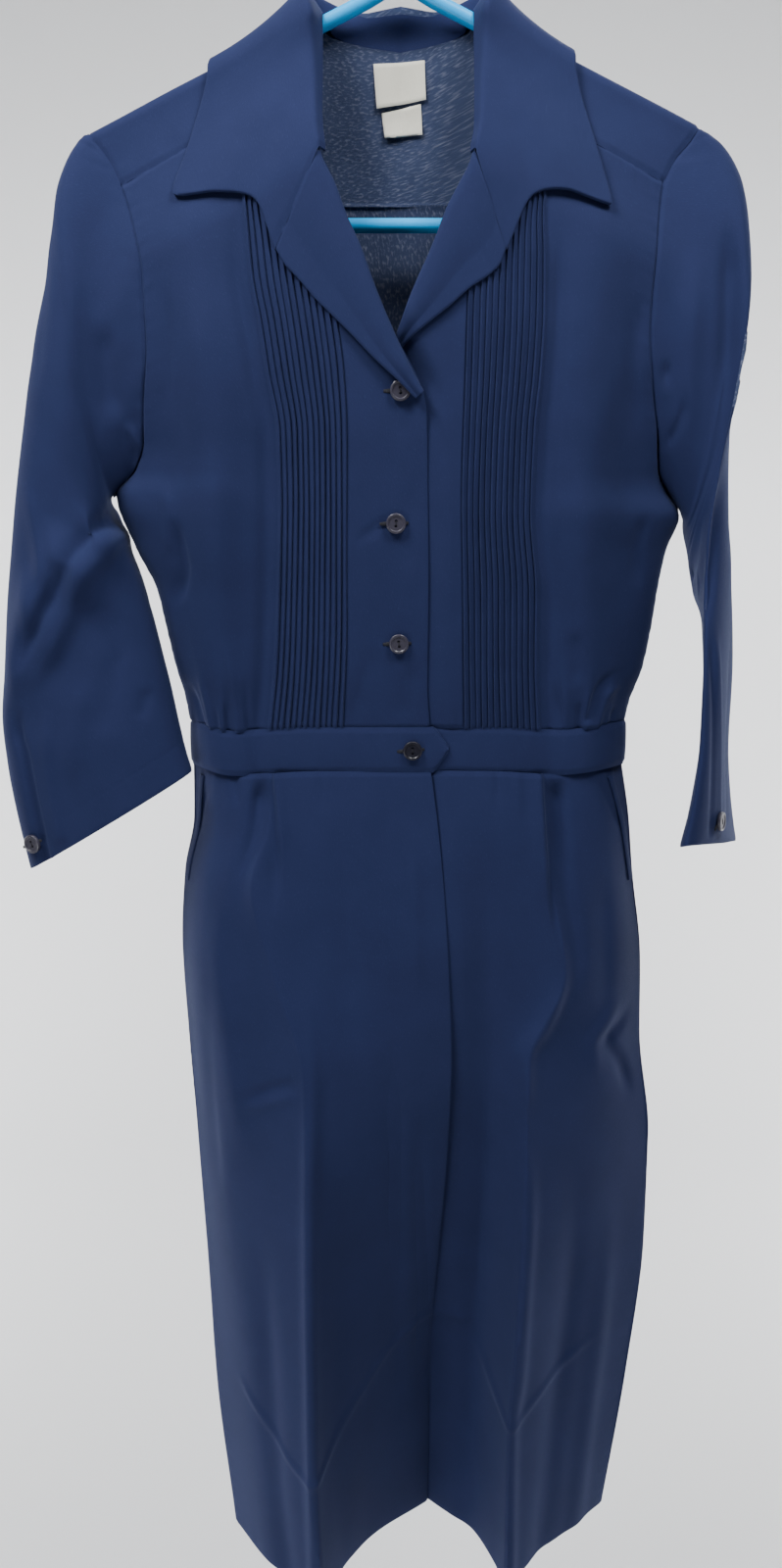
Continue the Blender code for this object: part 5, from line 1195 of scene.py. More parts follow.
FRONT_POINTS = ROWS_BESIDE_ARMHOLE
YOKE_FRONT_SHARES = (1.0, 0.68, 0.42, 0.2245, 0.1122)
SEAM_STEP = 0.0006
CAP_BLEND = 0.4
CAP_SPLIT = 5
BACK_POINTS = 5
RING_POWER = 0.85
# Stitch line above the cuff's edge: distance, width and depth
CUFF_STITCH = (0.021, 0.0007, 0.00022)


@dataclass
class Sleeve:
    """A long sleeve from its armhole to the cuff."""

    side: Side
    rows: int = 160
    columns: int = 140

    def armhole(self, s: Grid) -> tuple[Grid, int, int]:
        """Return the armhole at ring places s, and how the ring's places are counted.

        Args:
            s: places from 0 at the underarm, up the front and down the back.

        Returns:
            The points, the number of places in the ring and the place of the outer fold.
        """
        side = self.side
        under = UNDERARM_Z[side]
        front_z = np.linspace(under, JUNCTION_Z[side] - GAP, FRONT_POINTS + 1)
        corner = Yoke().corner_q(side)
        q_rows = [YOKE_DROP[side] * share for share in YOKE_FRONT_SHARES]
        q_rows += [q for _, q in YOKE_SIDE_Q] + [corner]
        back_z = np.linspace(BACK_SEAM_Z, under, BACK_POINTS + 1)
        first = FRONT_POINTS
        second = first + len(q_rows) - 1
        total = second + BACK_POINTS
        z = np.interp(s, np.arange(first + 1), front_z)
        x = EDGE_X[side](z)
        front = np.stack([x, body_depth(x, z), z], -1)
        q = np.interp(s, np.arange(first, second + 1), q_rows)
        over = over_shoulder(Track(YOKE_ARMHOLE[side])(q), q)
        z = np.interp(s, np.arange(second, total + 1), back_z)
        x = BACK_EDGE_X[side](z)
        back = np.stack([x, body_depth(x, z, False), z], -1)
        s = s[..., None]
        points = np.where(s < first, front, np.where(s <= second, over, back))
        return points, total, first + CAP_SPLIT

    def ring(self, row: Sequence[float], angle: Grid, ridge_at: float, ridge_height: float) -> Grid:
        """Return one ring of the sleeve.

        Args:
            row: the outer fold, the inner fold, the two depths and the turn.
            angle: places round the ring, positive in front.
            ridge_at: the angle of a fold that crosses the front.
            ridge_height: its height.

        Returns:
            A point for each angle.
        """
        outer, inner = np.array(row[:3]), np.array(row[3:6])
        middle, half = (outer + inner) / 2, (outer - inner) / 2
        turn = math.radians(row[8])
        front = np.array([-math.copysign(math.sin(turn), outer[0]), -math.cos(turn), 0.0])
        along = np.sign(np.cos(angle)) * np.abs(np.cos(angle)) ** RING_POWER
        depth = np.where(angle >= 0, row[6], row[7])
        out = np.sign(np.sin(angle)) * np.abs(np.sin(angle)) ** RING_POWER * depth
        rise = ridge_height * np.sqrt(np.maximum(np.sin(angle), 0.0)) * hump(angle - ridge_at, RIDGE_WIDTH)
        out = out + np.where(angle >= 0, rise, 0.0)
        return middle + half * along[:, None] + front * out[:, None]

    def grid(self) -> Grid:
        """Return the sleeve's points from the armhole to the cuff."""
        _, total, split = self.armhole(np.zeros(1))
        s = np.linspace(0.0, total, self.columns + 1)[:-1]
        ring, _, _ = self.armhole(s)
        angle = np.where(s <= split, math.pi * (1 - s / split), -math.pi * (s - split) / (total - split))
        crossing = Track(SLEEVE_RIDGE[self.side])
        rings = [ring + np.array([self.side.sign * SEAM_STEP, 0.0, 0.0])]
        for number, row in enumerate(SLEEVE[self.side]):
            degrees, height = crossing(number)
            rings.append(self.ring(row, angle, math.radians(float(degrees)), float(height)))
        rings[1] = rings[1] * (1 - CAP_BLEND) + rings[0] * CAP_BLEND
        table = np.array(rings)
        step = np.linalg.norm(np.diff(table, axis=0), axis=2).mean(axis=1)
        at = np.concatenate([[0], np.cumsum(step)])
        share = packed(self.rows, 0.3) * at[-1]
        track = Track(np.column_stack([at, table.reshape(len(table), -1)]))
        return track(share).reshape(self.rows, self.columns, 3)

    def piece(self) -> Piece:
        """Return the sleeve."""
        grid = self.grid()
        axis = grid.mean(axis=1, keepdims=True)
        normals = grid_normals(grid, axis, True)
        x, z = grid[..., 0], grid[..., 2]
        facing = ease((0.15 - normals[..., 1]) / 0.3)
        creases = folded(SLEEVE_FRONT[self.side], x, z) * facing
        creases = creases + folded(SLEEVE_BACK[self.side], x, z) * (1 - facing)
        _, v = arc_lengths(grid)
        away, width, deep = CUFF_STITCH
        creases = creases - deep * hump(v[-1] - v - away, width)
        edges = Edges(first_row=ARMHOLE, last_row=HEM)
        return Piece(f"sleeve_{self.side.value}", grid, (), edges, creases, closed=True, sway=0.0012,
                     seed=7.0 + self.side.sign)


@dataclass
class Collar:
    """The turned collar, from gorge to gorge."""

    stations: int = 76
    stand: int = 9
    fall: int = 38
    fall_power: float = 2.2
    smoothing: int = 10
    room: float = 0.0002
    front_q: float = -0.0175
    front_reach: float = 0.0075

    def sections(self, side: Side) -> Grid:
        """Return the sections of one half, from the middle of the back to the gorge."""
        rows = numbered(COLLAR[side])(np.linspace(0, len(COLLAR[side]) - 1, self.stations))
        neck_x, neck_q, roll_x, roll_q, roll_h, edge_x, edge_q, edge_h = rows.T
        neck = over_shoulder(off_middle(neck_x), neck_q)
        roll = lifted(roll_x, roll_q, roll_h)
        beside = ease((neck_q - self.front_q) / self.front_reach)
        shift = np.stack([-side.sign * (GAP * 4 + COLLAR_WALL) * beside, 0 * beside, GAP * (1 - beside)], -1)
        base = neck + shift
        points = [base + (roll - base) * share for share in np.linspace(0, 1, self.stand)[:-1]]
        for share in packed(self.fall, 0.5):
            x = roll_x + (edge_x - roll_x) * share
            q = roll_q + (edge_q - roll_q) * share
            height = edge_h + (roll_h - edge_h) * (1 - share) ** self.fall_power + COLLAR_LIFT * hump(q, 0.02)
            height = np.maximum(height, COLLAR_WALL + TUCK_HEIGHT + GAP + self.room)
            points.append(lifted(x, q, height))
        return np.stack(points, axis=1)

    def piece(self) -> Piece:
        """Return the collar."""
        halves = {side: self.sections(side) for side in Side}
        grid = np.concatenate([halves[Side.RIGHT][::-1], halves[Side.LEFT][1:]])
        for _ in range(self.smoothing):
            grid[:, 1:-1] = (grid[:, :-2] + 2 * grid[:, 1:-1] + grid[:, 2:]) / 4
        creases = folded(COLLAR_FOLDS, grid[..., 0], grid[..., 2]) * ease(-grid[..., 1] / 0.004)
        edges = Edges(GORGE, GORGE, None, CRISP)
        return Piece("collar", grid, (0.0, 0.0, -0.16), edges, creases, wall=0.0014, sway=0.0005, seed=9.0)


@dataclass
class Lapel:
    """The turned-out top of one front."""

    side: Side
    rows: int = 64
    columns: int = 40
    roll_share: float = 0.12
    belly: float = 0.0012
    low: float = 0.25

    def piece(self) -> Piece:
        """Return the lapel."""
        rows = numbered(LAPEL[self.side])(np.linspace(0, len(LAPEL[self.side]) - 1, self.rows))
        roll_x, roll_z, edge_x, edge_z, edge_h = (column[:, None] for column in rows.T)
        share = packed(self.columns, 0.6)[None]
        x = roll_x + (edge_x - roll_x) * share
        z = roll_z + (edge_z - roll_z) * share
        turn = np.sqrt(np.maximum(0.0, 1 - (1 - np.minimum(share / self.roll_share, 1.0)) ** 2))
        belly = self.belly * np.sin(math.pi * np.minimum(share * 1.4, 1.0))
        height = (edge_h + belly) * (self.low + (1 - self.low) * turn)
        if self.side is Side.LEFT:
            height = height - under_lap(x, z)
        grid = lifted(x, drop_to_q(ridge(x) - z), height)
        return Piece(f"lapel_{self.side.value}", grid, (0.0, 0.3, -0.25), Edges(GORGE, None, None, CRISP),
                     wall=0.0011, sway=0.0003, seed=11.0 + self.side.sign,
                     rests_on=f"bodice_front_{self.side.value}_cloth")


BAND_LAP = 0.0330
BAND_HIDDEN = -0.0200
BAND_POINT = 0.0100
BAND_TURN = math.radians(52)
BAND_LIFT = 0.0008
BAND_PUFF = 0.0005
BAND_TIP = 0.08
BAND_SMOOTHING = 16
# How far the hidden end lies under the lap: x, share
BAND_UNDER = ((BAND_LAP + 0.004, 0.050, 0.070), (1.0, 0.35, 0.0))


@dataclass
class Waistband:
    """The waistband, whose pointed right end laps over the left one."""

    rows: int = 15

    def path(self) -> tuple[Grid, Grid, Grid]:
        """Return x, whether it is in front and how far it lies under, for each column."""
        right, left = float(EDGE_X[Side.RIGHT](WAIST_Z)), float(EDGE_X[Side.LEFT](WAIST_Z))
        angles = np.linspace(BAND_TURN, math.pi / 2, 26)
        hidden = np.linspace(BAND_HIDDEN, left * math.sin(BAND_TURN), 70)[:-1]
        behind = np.linspace(math.pi / 2, -math.pi / 2, 110)[1:-1]
        back_x = np.where(behind > 0, left, -right) * np.sin(behind)
        lap = np.linspace(right * math.sin(BAND_TURN), BAND_LAP, 84)[1:]
        x = np.concatenate([hidden, left * np.sin(angles), back_x, right * np.sin(angles[::-1]), lap])
        front = np.ones(len(x), bool)
        first = len(hidden) + len(angles)
        front[first:first + len(back_x)] = False
        under = np.interp(x, *BAND_UNDER)
        under[first:] = 0.0
        return x, front, under

    def piece(self) -> Piece:
        """Return the waistband."""
        x, front, under = self.path()
        top, bottom = WAIST_Z - GAP, BAND_BOTTOM_Z
        middle = (top + bottom) / 2
        x = off_middle(x)
        y = np.where(front, body_depth(x, WAIST_Z, True), body_depth(x, WAIST_Z, False))
        for _ in range(BAND_SMOOTHING):
            y[1:-1] = (y[:-2] + 2 * y[1:-1] + y[2:]) / 4
        from_tip = BAND_LAP - x
        narrow = np.clip(BAND_TIP + (1 - BAND_TIP) * from_tip / BAND_POINT, BAND_TIP, 1.0)
        narrow[: len(x) // 2] = 1.0
        z = middle + (np.linspace(bottom, top, self.rows)[:, None] - middle) * narrow
        grid = np.stack([x + 0 * z, y + 0 * z, z], -1)
        normals = grid_normals(grid, [0.0, 0.0, middle])
        flat = normals.copy()
        flat[..., 2] = 0.0
        flat /= np.linalg.norm(flat, axis=2, keepdims=True)
        sunk = BAND_LIFT - under * (BAND_WALL + GAP + 0.1 * MM)
        grid = waist_dip(grid + flat * sunk[None, :, None])
        puff = BAND_PUFF * np.sin(math.pi * np.linspace(0, 1, self.rows))[:, None] * np.ones(len(x))
        return Piece("waistband", grid, (0.0, 0.0, middle), Edges(SEAM, SEAM, CRISP, CRISP), puff, wall=0.0016,
                     sway=0.0005, sway_size=0.030, seed=13.0, rests_on="bodice_back_cloth")


UNDER_SHARE = 0.66
# How far the left front's edge lies under the right one: place across, share
UNDER_STEPS = ((1 + UNDER_SHARE, 1.82, 1.92, 2.0), (0.0, 0.15, 0.55, 1.0))


@dataclass
class Skirt:
    """The skirt: two fronts that lap at the opening, and the back."""

    rows: int = 232
    outer: int = 62
    inner: int = 54
    under: int = 12
    back_columns: int = 92
    row_pack: float = 0.25
    start_reach: float = 0.020
    back_power: float = 0.75
    apart: float = 0.0004
    lap_room: float = 0.0003

    def heights(self) -> Grid:
        """Return the heights of the rows, from the waistband down."""
        span = HEM_Z - BAND_BOTTOM_Z + GAP
        return BAND_BOTTOM_Z - GAP + span * packed(self.rows, self.row_pack)

    def half(self, side: Side, z: Grid, shares: Grid) -> Grid:
        """Return points of one front.

        Args:
            side: the wearer's side.
            z: the heights of the rows.
            shares: places from 0 at the side seam over 1 at the crest to 2 at the front edge.

        Returns:
            Rows by shares of points.
        """
        rows = []
        values = Track(SKIRT[side])(z).reshape(-1, 5, 2)
        for height, (seam, flank, crest, foot, edge) in zip(z, values):
            outer = Track([(0.0, *seam), (0.5, *flank), (1.0, *crest)])
            inner = Track([(1.0, *crest), (1.5, *foot), (2.0, *edge)])
            plan = np.where(shares[:, None] <= 1, outer(shares), inner(shares))
            reach = ease(1 + (height - BAND_BOTTOM_Z) / PLEAT_REACH[side])
            start = ease((BAND_BOTTOM_Z - height) / self.start_reach)
            step = np.abs(plan[:, 0]) - abs(crest[0]) - PLEAT_STEP
            plan[:, 1] += PLEAT_DEPTH * reach * start * hump(step, PLEAT_WIDTH)
            rows.append(np.column_stack([plan, np.full(len(plan), height)]))
        return np.array(rows)

    def back(self, z: Grid) -> Grid:
        """Return the back's points from the right side seam to the left one."""
        ends = [self.half(side, z, np.array([0.0]))[:, 0] for side in Side]
        angle = np.linspace(0.0, math.pi, self.back_columns)
        share = ((1 - np.cos(angle)) / 2)[None, :, None]
        points = ends[0][:, None] * (1 - share) + ends[1][:, None] * share
        points[..., 1] += Track(SKIRT_BACK_DEPTH)(z)[:, None] * np.sin(angle) ** self.back_power
        return points

    def pieces(self) -> Iterable[Piece]:
        """Return the two fronts and the back."""
        z = self.heights()
        outward = packed(self.outer, 0.2)
        inward = 1 + packed(self.inner, 0.3)[1:]
        shares = np.concatenate([outward, inward])
        inside = (0.012, 0.0, -0.88)
        right = self.half(Side.RIGHT, z, shares)
        hidden = self.half(Side.RIGHT, z, np.linspace(2.0, 1 + UNDER_SHARE, self.under))
        left = np.concatenate([self.half(Side.LEFT, z, shares[:-1]), hidden], axis=1)
        normals = grid_normals(left, inside)
        sunk = np.interp(shares[:-1], *UNDER_STEPS)
        sunk = np.concatenate([sunk, np.ones(self.under)])
        left = left - normals * (sunk * (CLOTH + GAP + self.lap_room))[None, :, None]
        apart = np.array([0.0, self.apart, 0.0])
        for side, grid in ((Side.RIGHT, right), (Side.LEFT, left)):
            creases = folded(SKIRT_FRONT_FOLDS[side], grid[..., 0], grid[..., 2])
            grid = waist_dip(grid)
            grid[:, 0] -= apart
            last = TURNED if side is Side.RIGHT else None
            edges = Edges(first_row=SEAM, last_row=HEM, first_column=SEAM, last_column=last)
            yield Piece(f"skirt_front_{side.value}", grid, inside, edges, creases, sway=0.0012, sway_size=0.080,
                        seed=15.0 + side.sign, rests_on="waistband_cloth")
        grid = self.back(z)
        creases = folded(SKIRT_BACK_FOLDS, grid[..., 0], grid[..., 2])
        grid[:, (0, -1)] += apart
        yield Piece("skirt_back", grid, inside, Edges(SEAM, HEM, SEAM, SEAM), creases, sway=0.0016,
                    sway_size=0.080, seed=19.0, rests_on="waistband_cloth")

    def pocket(self, side: Side) -> Piece:
        """Return the slanted pocket edge on one front.

        Args:
            side: the wearer's side.

        Returns:
            The welt, which lies on the front.
        """
        (row_0, column_0), (row_1, column_1) = POCKETS[side]
        shares = np.array([0.0, 0.14, 0.32])
        count = 36
        z = np.interp(np.linspace(row_0, row_1, count), np.arange(len(SKIRT_LEVELS)), SKIRT_LEVELS)
        start = np.interp(np.linspace(column_0, column_1, count), np.arange(3), shares)
        lines = []
        for height, share in zip(z, start):
            line = self.half(side, np.array([height]), np.linspace(share, share + 0.10, 10))[0]
            lines.append(line)
        grid = np.array(lines)
        normals = grid_normals(grid, [0.0, 0.0, -0.6])
        grid = waist_dip(grid + normals * (GAP * 2 + POCKET_WALL))
        return Piece(f"pocket_edge_{side.value}", grid, (0.0, 0.0, -0.6), Edges(CRISP, CRISP, CRISP, CRISP),
                     wall=0.0008, sway=0.0, seed=21.0, trim=True)


@dataclass
class Labels:
    """The two bare labels inside the back of the neck."""

    neck: tuple = ((-17, -126), (15, -124), (16, -145), (-15, -150))
    size: tuple = ((-12, -152), (13, -147), (14, -164), (-10, -166))
    wall: float = 0.0006
    droop: float = 0.0012
    curl: float = 0.0005

    def piece(self, node: str, corners: Sequence[Sequence[float]]) -> Piece:
        """Return one label.

        Args:
            node: the node that it stands for.
            corners: x and z of its corners in millimetres, from the top left one clockwise.

        Returns:
            The label.
        """
        points = np.array(corners, float) * MM
        u, v = np.meshgrid(np.linspace(0, 1, 26), np.linspace(0, 1, 20))
        u, v = u[..., None], v[..., None]
        flat = (points[0] * (1 - u) + points[1] * u) * (1 - v) + (points[3] * (1 - u) + points[2] * u) * v
        x, z = flat[..., 0], flat[..., 1]
        x = off_middle(x)
        u, v = u[..., 0], v[..., 0]
        lift = CLOTH + GAP + self.wall + self.droop * v**2 + self.curl * np.sin(5.0 * u + 1.0) * v
        grid = np.stack([x, body_depth(x, z, False) - lift, z], -1)
        return Piece(node, grid, (0.0, 0.5, -0.14), Edges(CRISP, CRISP, CRISP, CRISP), wall=self.wall, sway=0.0002,
                     sway_size=0.015, seed=25.0)

    def pieces(self) -> Iterable[Piece]:
        """Return both labels."""
        yield self.piece("neck_label", self.neck)
        yield self.piece("size_label", self.size)


class Nodes:
    """A new material and short ways to add and join its nodes."""

    def __init__(self, name: str) -> None:
        """Make the material."""
        self.material = bpy.data.materials.new(name)
        self.material.use_nodes = True
        self.shader = self.material.node_tree.nodes["Principled BSDF"]

    def feed(self, node: bpy.types.Node, sockets: dict[str | int, object]) -> None:
        """Set some of a node's own inputs, or link them from other nodes.

        Args:
            node: the node.
            sockets: a constant or another node's output for each input.
        """
        for name, value in sockets.items():
            if isinstance(value, bpy.types.NodeSocket):
                self.material.node_tree.links.new(value, node.inputs[name])
            else:
                node.inputs[name].default_value = value

    def add(self, kind: str, output: str, sockets: dict[str | int, object] | None = None,
            **options: str) -> bpy.types.NodeSocket:
        """Add a node.

        Args:
            kind: the last part of its type's name.
            output: the name of its output.
            sockets: what its inputs hold.
            options: its own settings.

        Returns:
            The output.
        """
        node = self.material.node_tree.nodes.new(f"ShaderNode{kind}")
        for name, value in options.items():
            setattr(node, name, value)
        self.feed(node, sockets or {})
        return node.outputs[output]


def opaque(colour: Sequence[float]) -> tuple[float, ...]:
    """Return a colour with a full alpha."""
    return (*colour, 1.0)


@dataclass(frozen=True)
class ClothFinish:
    """A woven finish: its colour, how it varies, its threads and its nap."""

    name: str
    colour: tuple[float, float, float]
    shade: tuple[float, float, float]
    fleck: tuple[float, float, float]
    fleck_share: float
    fleck_start: float = 0.60
    thread: float = 0.00042
    grain: float = 0.00095
    depth: float = 0.16
    roughness: float = 0.86
    sheen: float = 0.10
    sheen_tint: tuple[float, float, float] = (0.42, 0.52, 0.85)

    def build(self) -> bpy.types.Material:
        """Return the material."""
        nodes = Nodes(self.name)
        places = nodes.add("TexCoord", "Object")
        flat = nodes.add("UVMap", "UV", uv_map="weave")
        cloud = nodes.add("TexNoise", "Fac", {"Scale": 26.0, "Detail": 5.0, "Roughness": 0.62, "Vector": places})
        stretched = nodes.add("Mapping", "Vector", {"Scale": (1.0, 0.45, 1.0), "Vector": flat})
        grain = nodes.add("TexNoise", "Fac", {"Scale": 1.0 / self.grain, "Detail": 2.0, "Vector": stretched})
        pitch = 2 * math.pi / (20.0 * self.thread)
        waves = [nodes.add("TexWave", "Fac", {"Scale": pitch, "Distortion": 0.6, "Detail Scale": 0.4, "Vector": flat},
                           bands_direction=direction) for direction in ("X", "Y")]
        weave = nodes.add("Math", "Value", {0: waves[0], 1: waves[1]}, operation="MAXIMUM")
        drifting = nodes.add("MapRange", "Result", {"From Min": 0.34, "From Max": 0.66, "Value": cloud})
        tone = nodes.add("Mix", "Result", {"Factor": drifting, "A": opaque(self.shade), "B": opaque(self.colour)},
                         data_type="RGBA")
        speck = nodes.add("MapRange", "Result", {"From Min": self.fleck_start, "From Max": 0.78,
                                                 "To Max": self.fleck_share, "Value": grain})
        flecked = nodes.add("Mix", "Result", {"Factor": speck, "A": tone, "B": opaque(self.fleck)}, data_type="RGBA")
        coarse = nodes.add("Bump", "Normal", {"Strength": self.depth, "Distance": 0.0006, "Height": grain})
        fine = nodes.add("Bump", "Normal", {"Strength": self.depth, "Distance": 0.0003, "Height": weave,
                                            "Normal": coarse})
        nodes.feed(nodes.shader, {"Roughness": self.roughness, "Sheen Weight": self.sheen, "Sheen Roughness": 0.45,
                                  "Sheen Tint": opaque(self.sheen_tint), "Specular IOR Level": 0.14,
                                  "Base Color": flecked, "Normal": fine})
        return nodes.material


@dataclass(frozen=True)
class HardFinish:
    """A moulded finish: its colour, gloss and fine unevenness."""

    name: str
    colour: tuple[float, float, float]
    shade: tuple[float, float, float]
    roughness: float
    coat: float = 0.0
    cloud_size: float = 0.004
    dent: float = 0.02
    specular: float = 0.5

    def build(self) -> bpy.types.Material:
        """Return the material."""
        nodes = Nodes(self.name)
        places = nodes.add("TexCoord", "Object")
        cloud = nodes.add("TexNoise", "Fac", {"Scale": 1.0 / self.cloud_size, "Detail": 4.0, "Vector": places})
        tone = nodes.add("Mix", "Result", {"A": opaque(self.shade), "B": opaque(self.colour), "Factor": cloud},
                         data_type="RGBA")
        rough = nodes.add("MapRange", "Result", {"To Min": self.roughness * 0.8, "To Max": self.roughness * 1.25,
                                                 "Value": cloud})
        dents = nodes.add("Bump", "Normal", {"Strength": self.dent, "Distance": 0.001, "Height": cloud})
        nodes.feed(nodes.shader, {"Coat Weight": self.coat, "Coat Roughness": 0.12, "Base Color": tone,
                                  "Specular IOR Level": self.specular, "Roughness": rough, "Normal": dents})
        return nodes.material


NAVY = ClothFinish("navy_cloth_right_side", (0.0152, 0.0222, 0.0760), (0.0134, 0.0198, 0.0690),
                   (0.030, 0.044, 0.118), 0.40)
NAVY_WRONG = ClothFinish("navy_cloth_wrong_side", (0.0560, 0.0760, 0.1550), (0.0400, 0.0560, 0.1200),
                         (0.200, 0.215, 0.300), 0.85, fleck_start=0.50, grain=0.0015, depth=0.5)
LABEL_WHITE = ClothFinish("label_weave", (0.90, 0.88, 0.77), (0.82, 0.80, 0.69), (0.94, 0.93, 0.86), 0.4,
                          thread=0.0005, depth=0.2, roughness=0.7, sheen=0.0, sheen_tint=(1.0, 1.0, 1.0))
BUTTON = HardFinish("button_plastic", (0.048, 0.045, 0.068), (0.034, 0.032, 0.050), 0.36, coat=0.35)
# Painted shade: a darker copy of the same button plastic, for the waist button, which sits in shade
BUTTON_PAINTED_SHADE = HardFinish("button_plastic_painted_shade", (0.010, 0.010, 0.020), (0.007, 0.007, 0.015), 0.38, coat=0.2)
THREAD = HardFinish("button_thread", (0.012, 0.013, 0.022), (0.007, 0.008, 0.014), 0.85, cloud_size=0.0006,
                    dent=0.3)
HANGER_BLUE = HardFinish("hanger_blue_plastic", (0.001, 0.440, 0.950), (0.001, 0.390, 0.890), 0.36, coat=0.05,
                         cloud_size=0.012, specular=0.22)


def settle(piece: bpy.types.Object, node: str | None, slot: Slot, *finishes: bpy.types.Material) -> None:
    """Give a modelled piece its finishes, hang it from the root and hide the node that it stands for.

    Args:
        piece: the new object.
        node: the node that it stands for, if any.
        slot: the record's slot; not used.
        finishes: its materials, in order of its slots.
    """
    piece.data.materials.clear()
    for finish in finishes:
        piece.data.materials.append(finish)
    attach(piece, "root")
    if node:
        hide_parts(node)
    LOG.info("%s: %d faces", piece.name, len(piece.data.polygons))


def pick_faces(piece: bpy.types.Object, choose: Callable[[bpy.types.MeshPolygon], bool]) -> None:
    """Select the faces that a test picks, leaving edit mode on."""
    bpy.ops.object.mode_set(mode="OBJECT")
    for part in (piece.data.vertices, piece.data.edges, piece.data.polygons):
        part.foreach_set("select", np.zeros(len(part), bool))
    for face in piece.data.polygons:
        face.select = choose(face)
    bpy.ops.object.mode_set(mode="EDIT")
    bpy.ops.mesh.select_mode(type="FACE")


@dataclass
class Buttons:
    """Two-hole buttons, their thread and the buttonholes under them."""

    rim: float = 0.0013
    sunk: float = 0.0006
    hole_length: float = 0.0185
    hole_width: float = 0.0026

    def blank(self) -> bpy.types.Object:
        """Model one button with its face up, its back at the origin."""
        bpy.ops.object.select_all(action="DESELECT")
        bpy.ops.mesh.primitive_cylinder_add(vertices=48, radius=BUTTON_RADIUS, depth=BUTTON_HEIGHT,
                                            location=(0.0, 0.0, BUTTON_HEIGHT / 2))
        piece = bpy.context.active_object
        pick_faces(piece, lambda face: face.normal.z > 0.9)
        bpy.ops.mesh.inset(thickness=self.rim, depth=0.0)
        bpy.ops.mesh.inset(thickness=0.0006, depth=-self.sunk)
        bpy.ops.mesh.inset(thickness=0.0020, depth=0.0)
        bpy.ops.object.mode_set(mode="OBJECT")
        bpy.ops.object.transform_apply(location=True, rotation=True, scale=True)
        bevel = piece.modifiers.new("round_rim", "BEVEL")
        bevel.width = BUTTON_HEIGHT * 0.26
        bevel.segments = 3
        bevel.angle_limit = math.radians(50)
        bpy.ops.object.modifier_apply(modifier=bevel.name)
        for sign in (-1, 1):
            bpy.ops.mesh.primitive_cylinder_add(vertices=20, radius=HOLE_RADIUS, depth=BUTTON_HEIGHT * 3,
                                                location=(0.0, sign * HOLE_OFFSET, BUTTON_HEIGHT / 2))
            cutter = bpy.context.active_object
            hole = piece.modifiers.new("thread_hole", "BOOLEAN")
            hole.operation = "DIFFERENCE"
            hole.solver = "EXACT"
            hole.object = cutter
            bpy.context.view_layer.objects.active = piece
            bpy.ops.object.modifier_apply(modifier=hole.name)
            bpy.data.objects.remove(cutter)
        bpy.ops.object.select_all(action="DESELECT")
        piece.select_set(True)
        bpy.ops.object.shade_smooth_by_angle(angle=math.radians(38))
        return piece

    def strand(self, length: float, width: float, height: float) -> bpy.types.Object:
        """Model a bundle of thread that lies along x, with its foot at the origin."""
        bpy.ops.object.select_all(action="DESELECT")
        bpy.ops.mesh.primitive_cube_add(size=1.0, location=(0.0, 0.0, 0.0))
        piece = bpy.context.active_object
        piece.scale = (length, width, height)
        bpy.ops.object.transform_apply(location=True, rotation=True, scale=True)
        bpy.ops.object.mode_set(mode="EDIT")
        bpy.ops.mesh.select_all(action="SELECT")
        bpy.ops.mesh.subdivide(number_cuts=5)
        bpy.ops.object.mode_set(mode="OBJECT")
        for vertex in piece.data.vertices:
            share = vertex.co.x / (length / 2)
            across = vertex.co.y / (width / 2)
            vertex.co.z *= math.sqrt(max(0.05, 1 - 0.85 * across**2)) * (1 - 0.5 * abs(share) ** 6)
            vertex.co.y *= 1 - 0.35 * abs(share) ** 8
        bpy.ops.object.shade_smooth()
        return piece

    def frame_at(self, point: Grid, normal: Grid, degrees: float) -> Matrix:
        """Return the transform that stands a piece on the cloth."""
        up_normal = Vector(normal).normalized()
        across = Vector((1.0, 0.0, 0.0))
        across = (across - up_normal * across.dot(up_normal)).normalized()
        up = up_normal.cross(across)
        turn = Matrix((across, up, up_normal)).transposed() @ Matrix.Rotation(math.radians(degrees), 3, "Z")
        return Matrix.Translation(Vector(point)) @ turn.to_4x4()

    def seats(self, sleeves: dict[Side, Grid]) -> Iterable[tuple[str, Grid, Grid, float, float]]:
        """Return each button's name, place, facing, tilt and the tilt of its buttonhole.

        Args:
            sleeves: the grid of each sleeve.

        Returns:
            One row for each button.
        """
        for name, x, z, tilt in BODICE_BUTTONS:
            q = drop_to_q(float(ridge(x)) - z)
            x = off_middle(x)
            yield name, lifted(x, q, GAP), lifted(x, q, 1.0) - lifted(x, q, 0.0), tilt, 2.0
        name, x, z, tilt = WAIST_BUTTON
        y = float(body_depth(x, WAIST_Z))
        slope = float(body_depth(x + 0.004, WAIST_Z) - body_depth(x - 0.004, WAIST_Z)) / 0.008
        yield name, np.array([x, y - 0.0012 - GAP, z]), np.array([slope, -1.0, 0.0]), tilt, 5.0
        for name, side, back, degrees in CUFF_BUTTONS:
            grid = sleeves[side]
            normals = grid_normals(grid, grid.mean(axis=1, keepdims=True), True)
            split = (FRONT_POINTS + CAP_SPLIT) / (FRONT_POINTS + 10 + BACK_POINTS) * grid.shape[1]
            angle = abs(degrees) / 180
            column = split * (1 - angle) if degrees > 0 else split + (grid.shape[1] - split) * angle
            _, v = arc_lengths(grid)
            column = int(round(column)) % grid.shape[1]
            row = int(np.argmin(np.abs(v[-1, column] - v[:, column] - 0.0150)))
            yield name, grid[row, column] + normals[row, column] * GAP * 2, normals[row, column], 20.0, 25.0

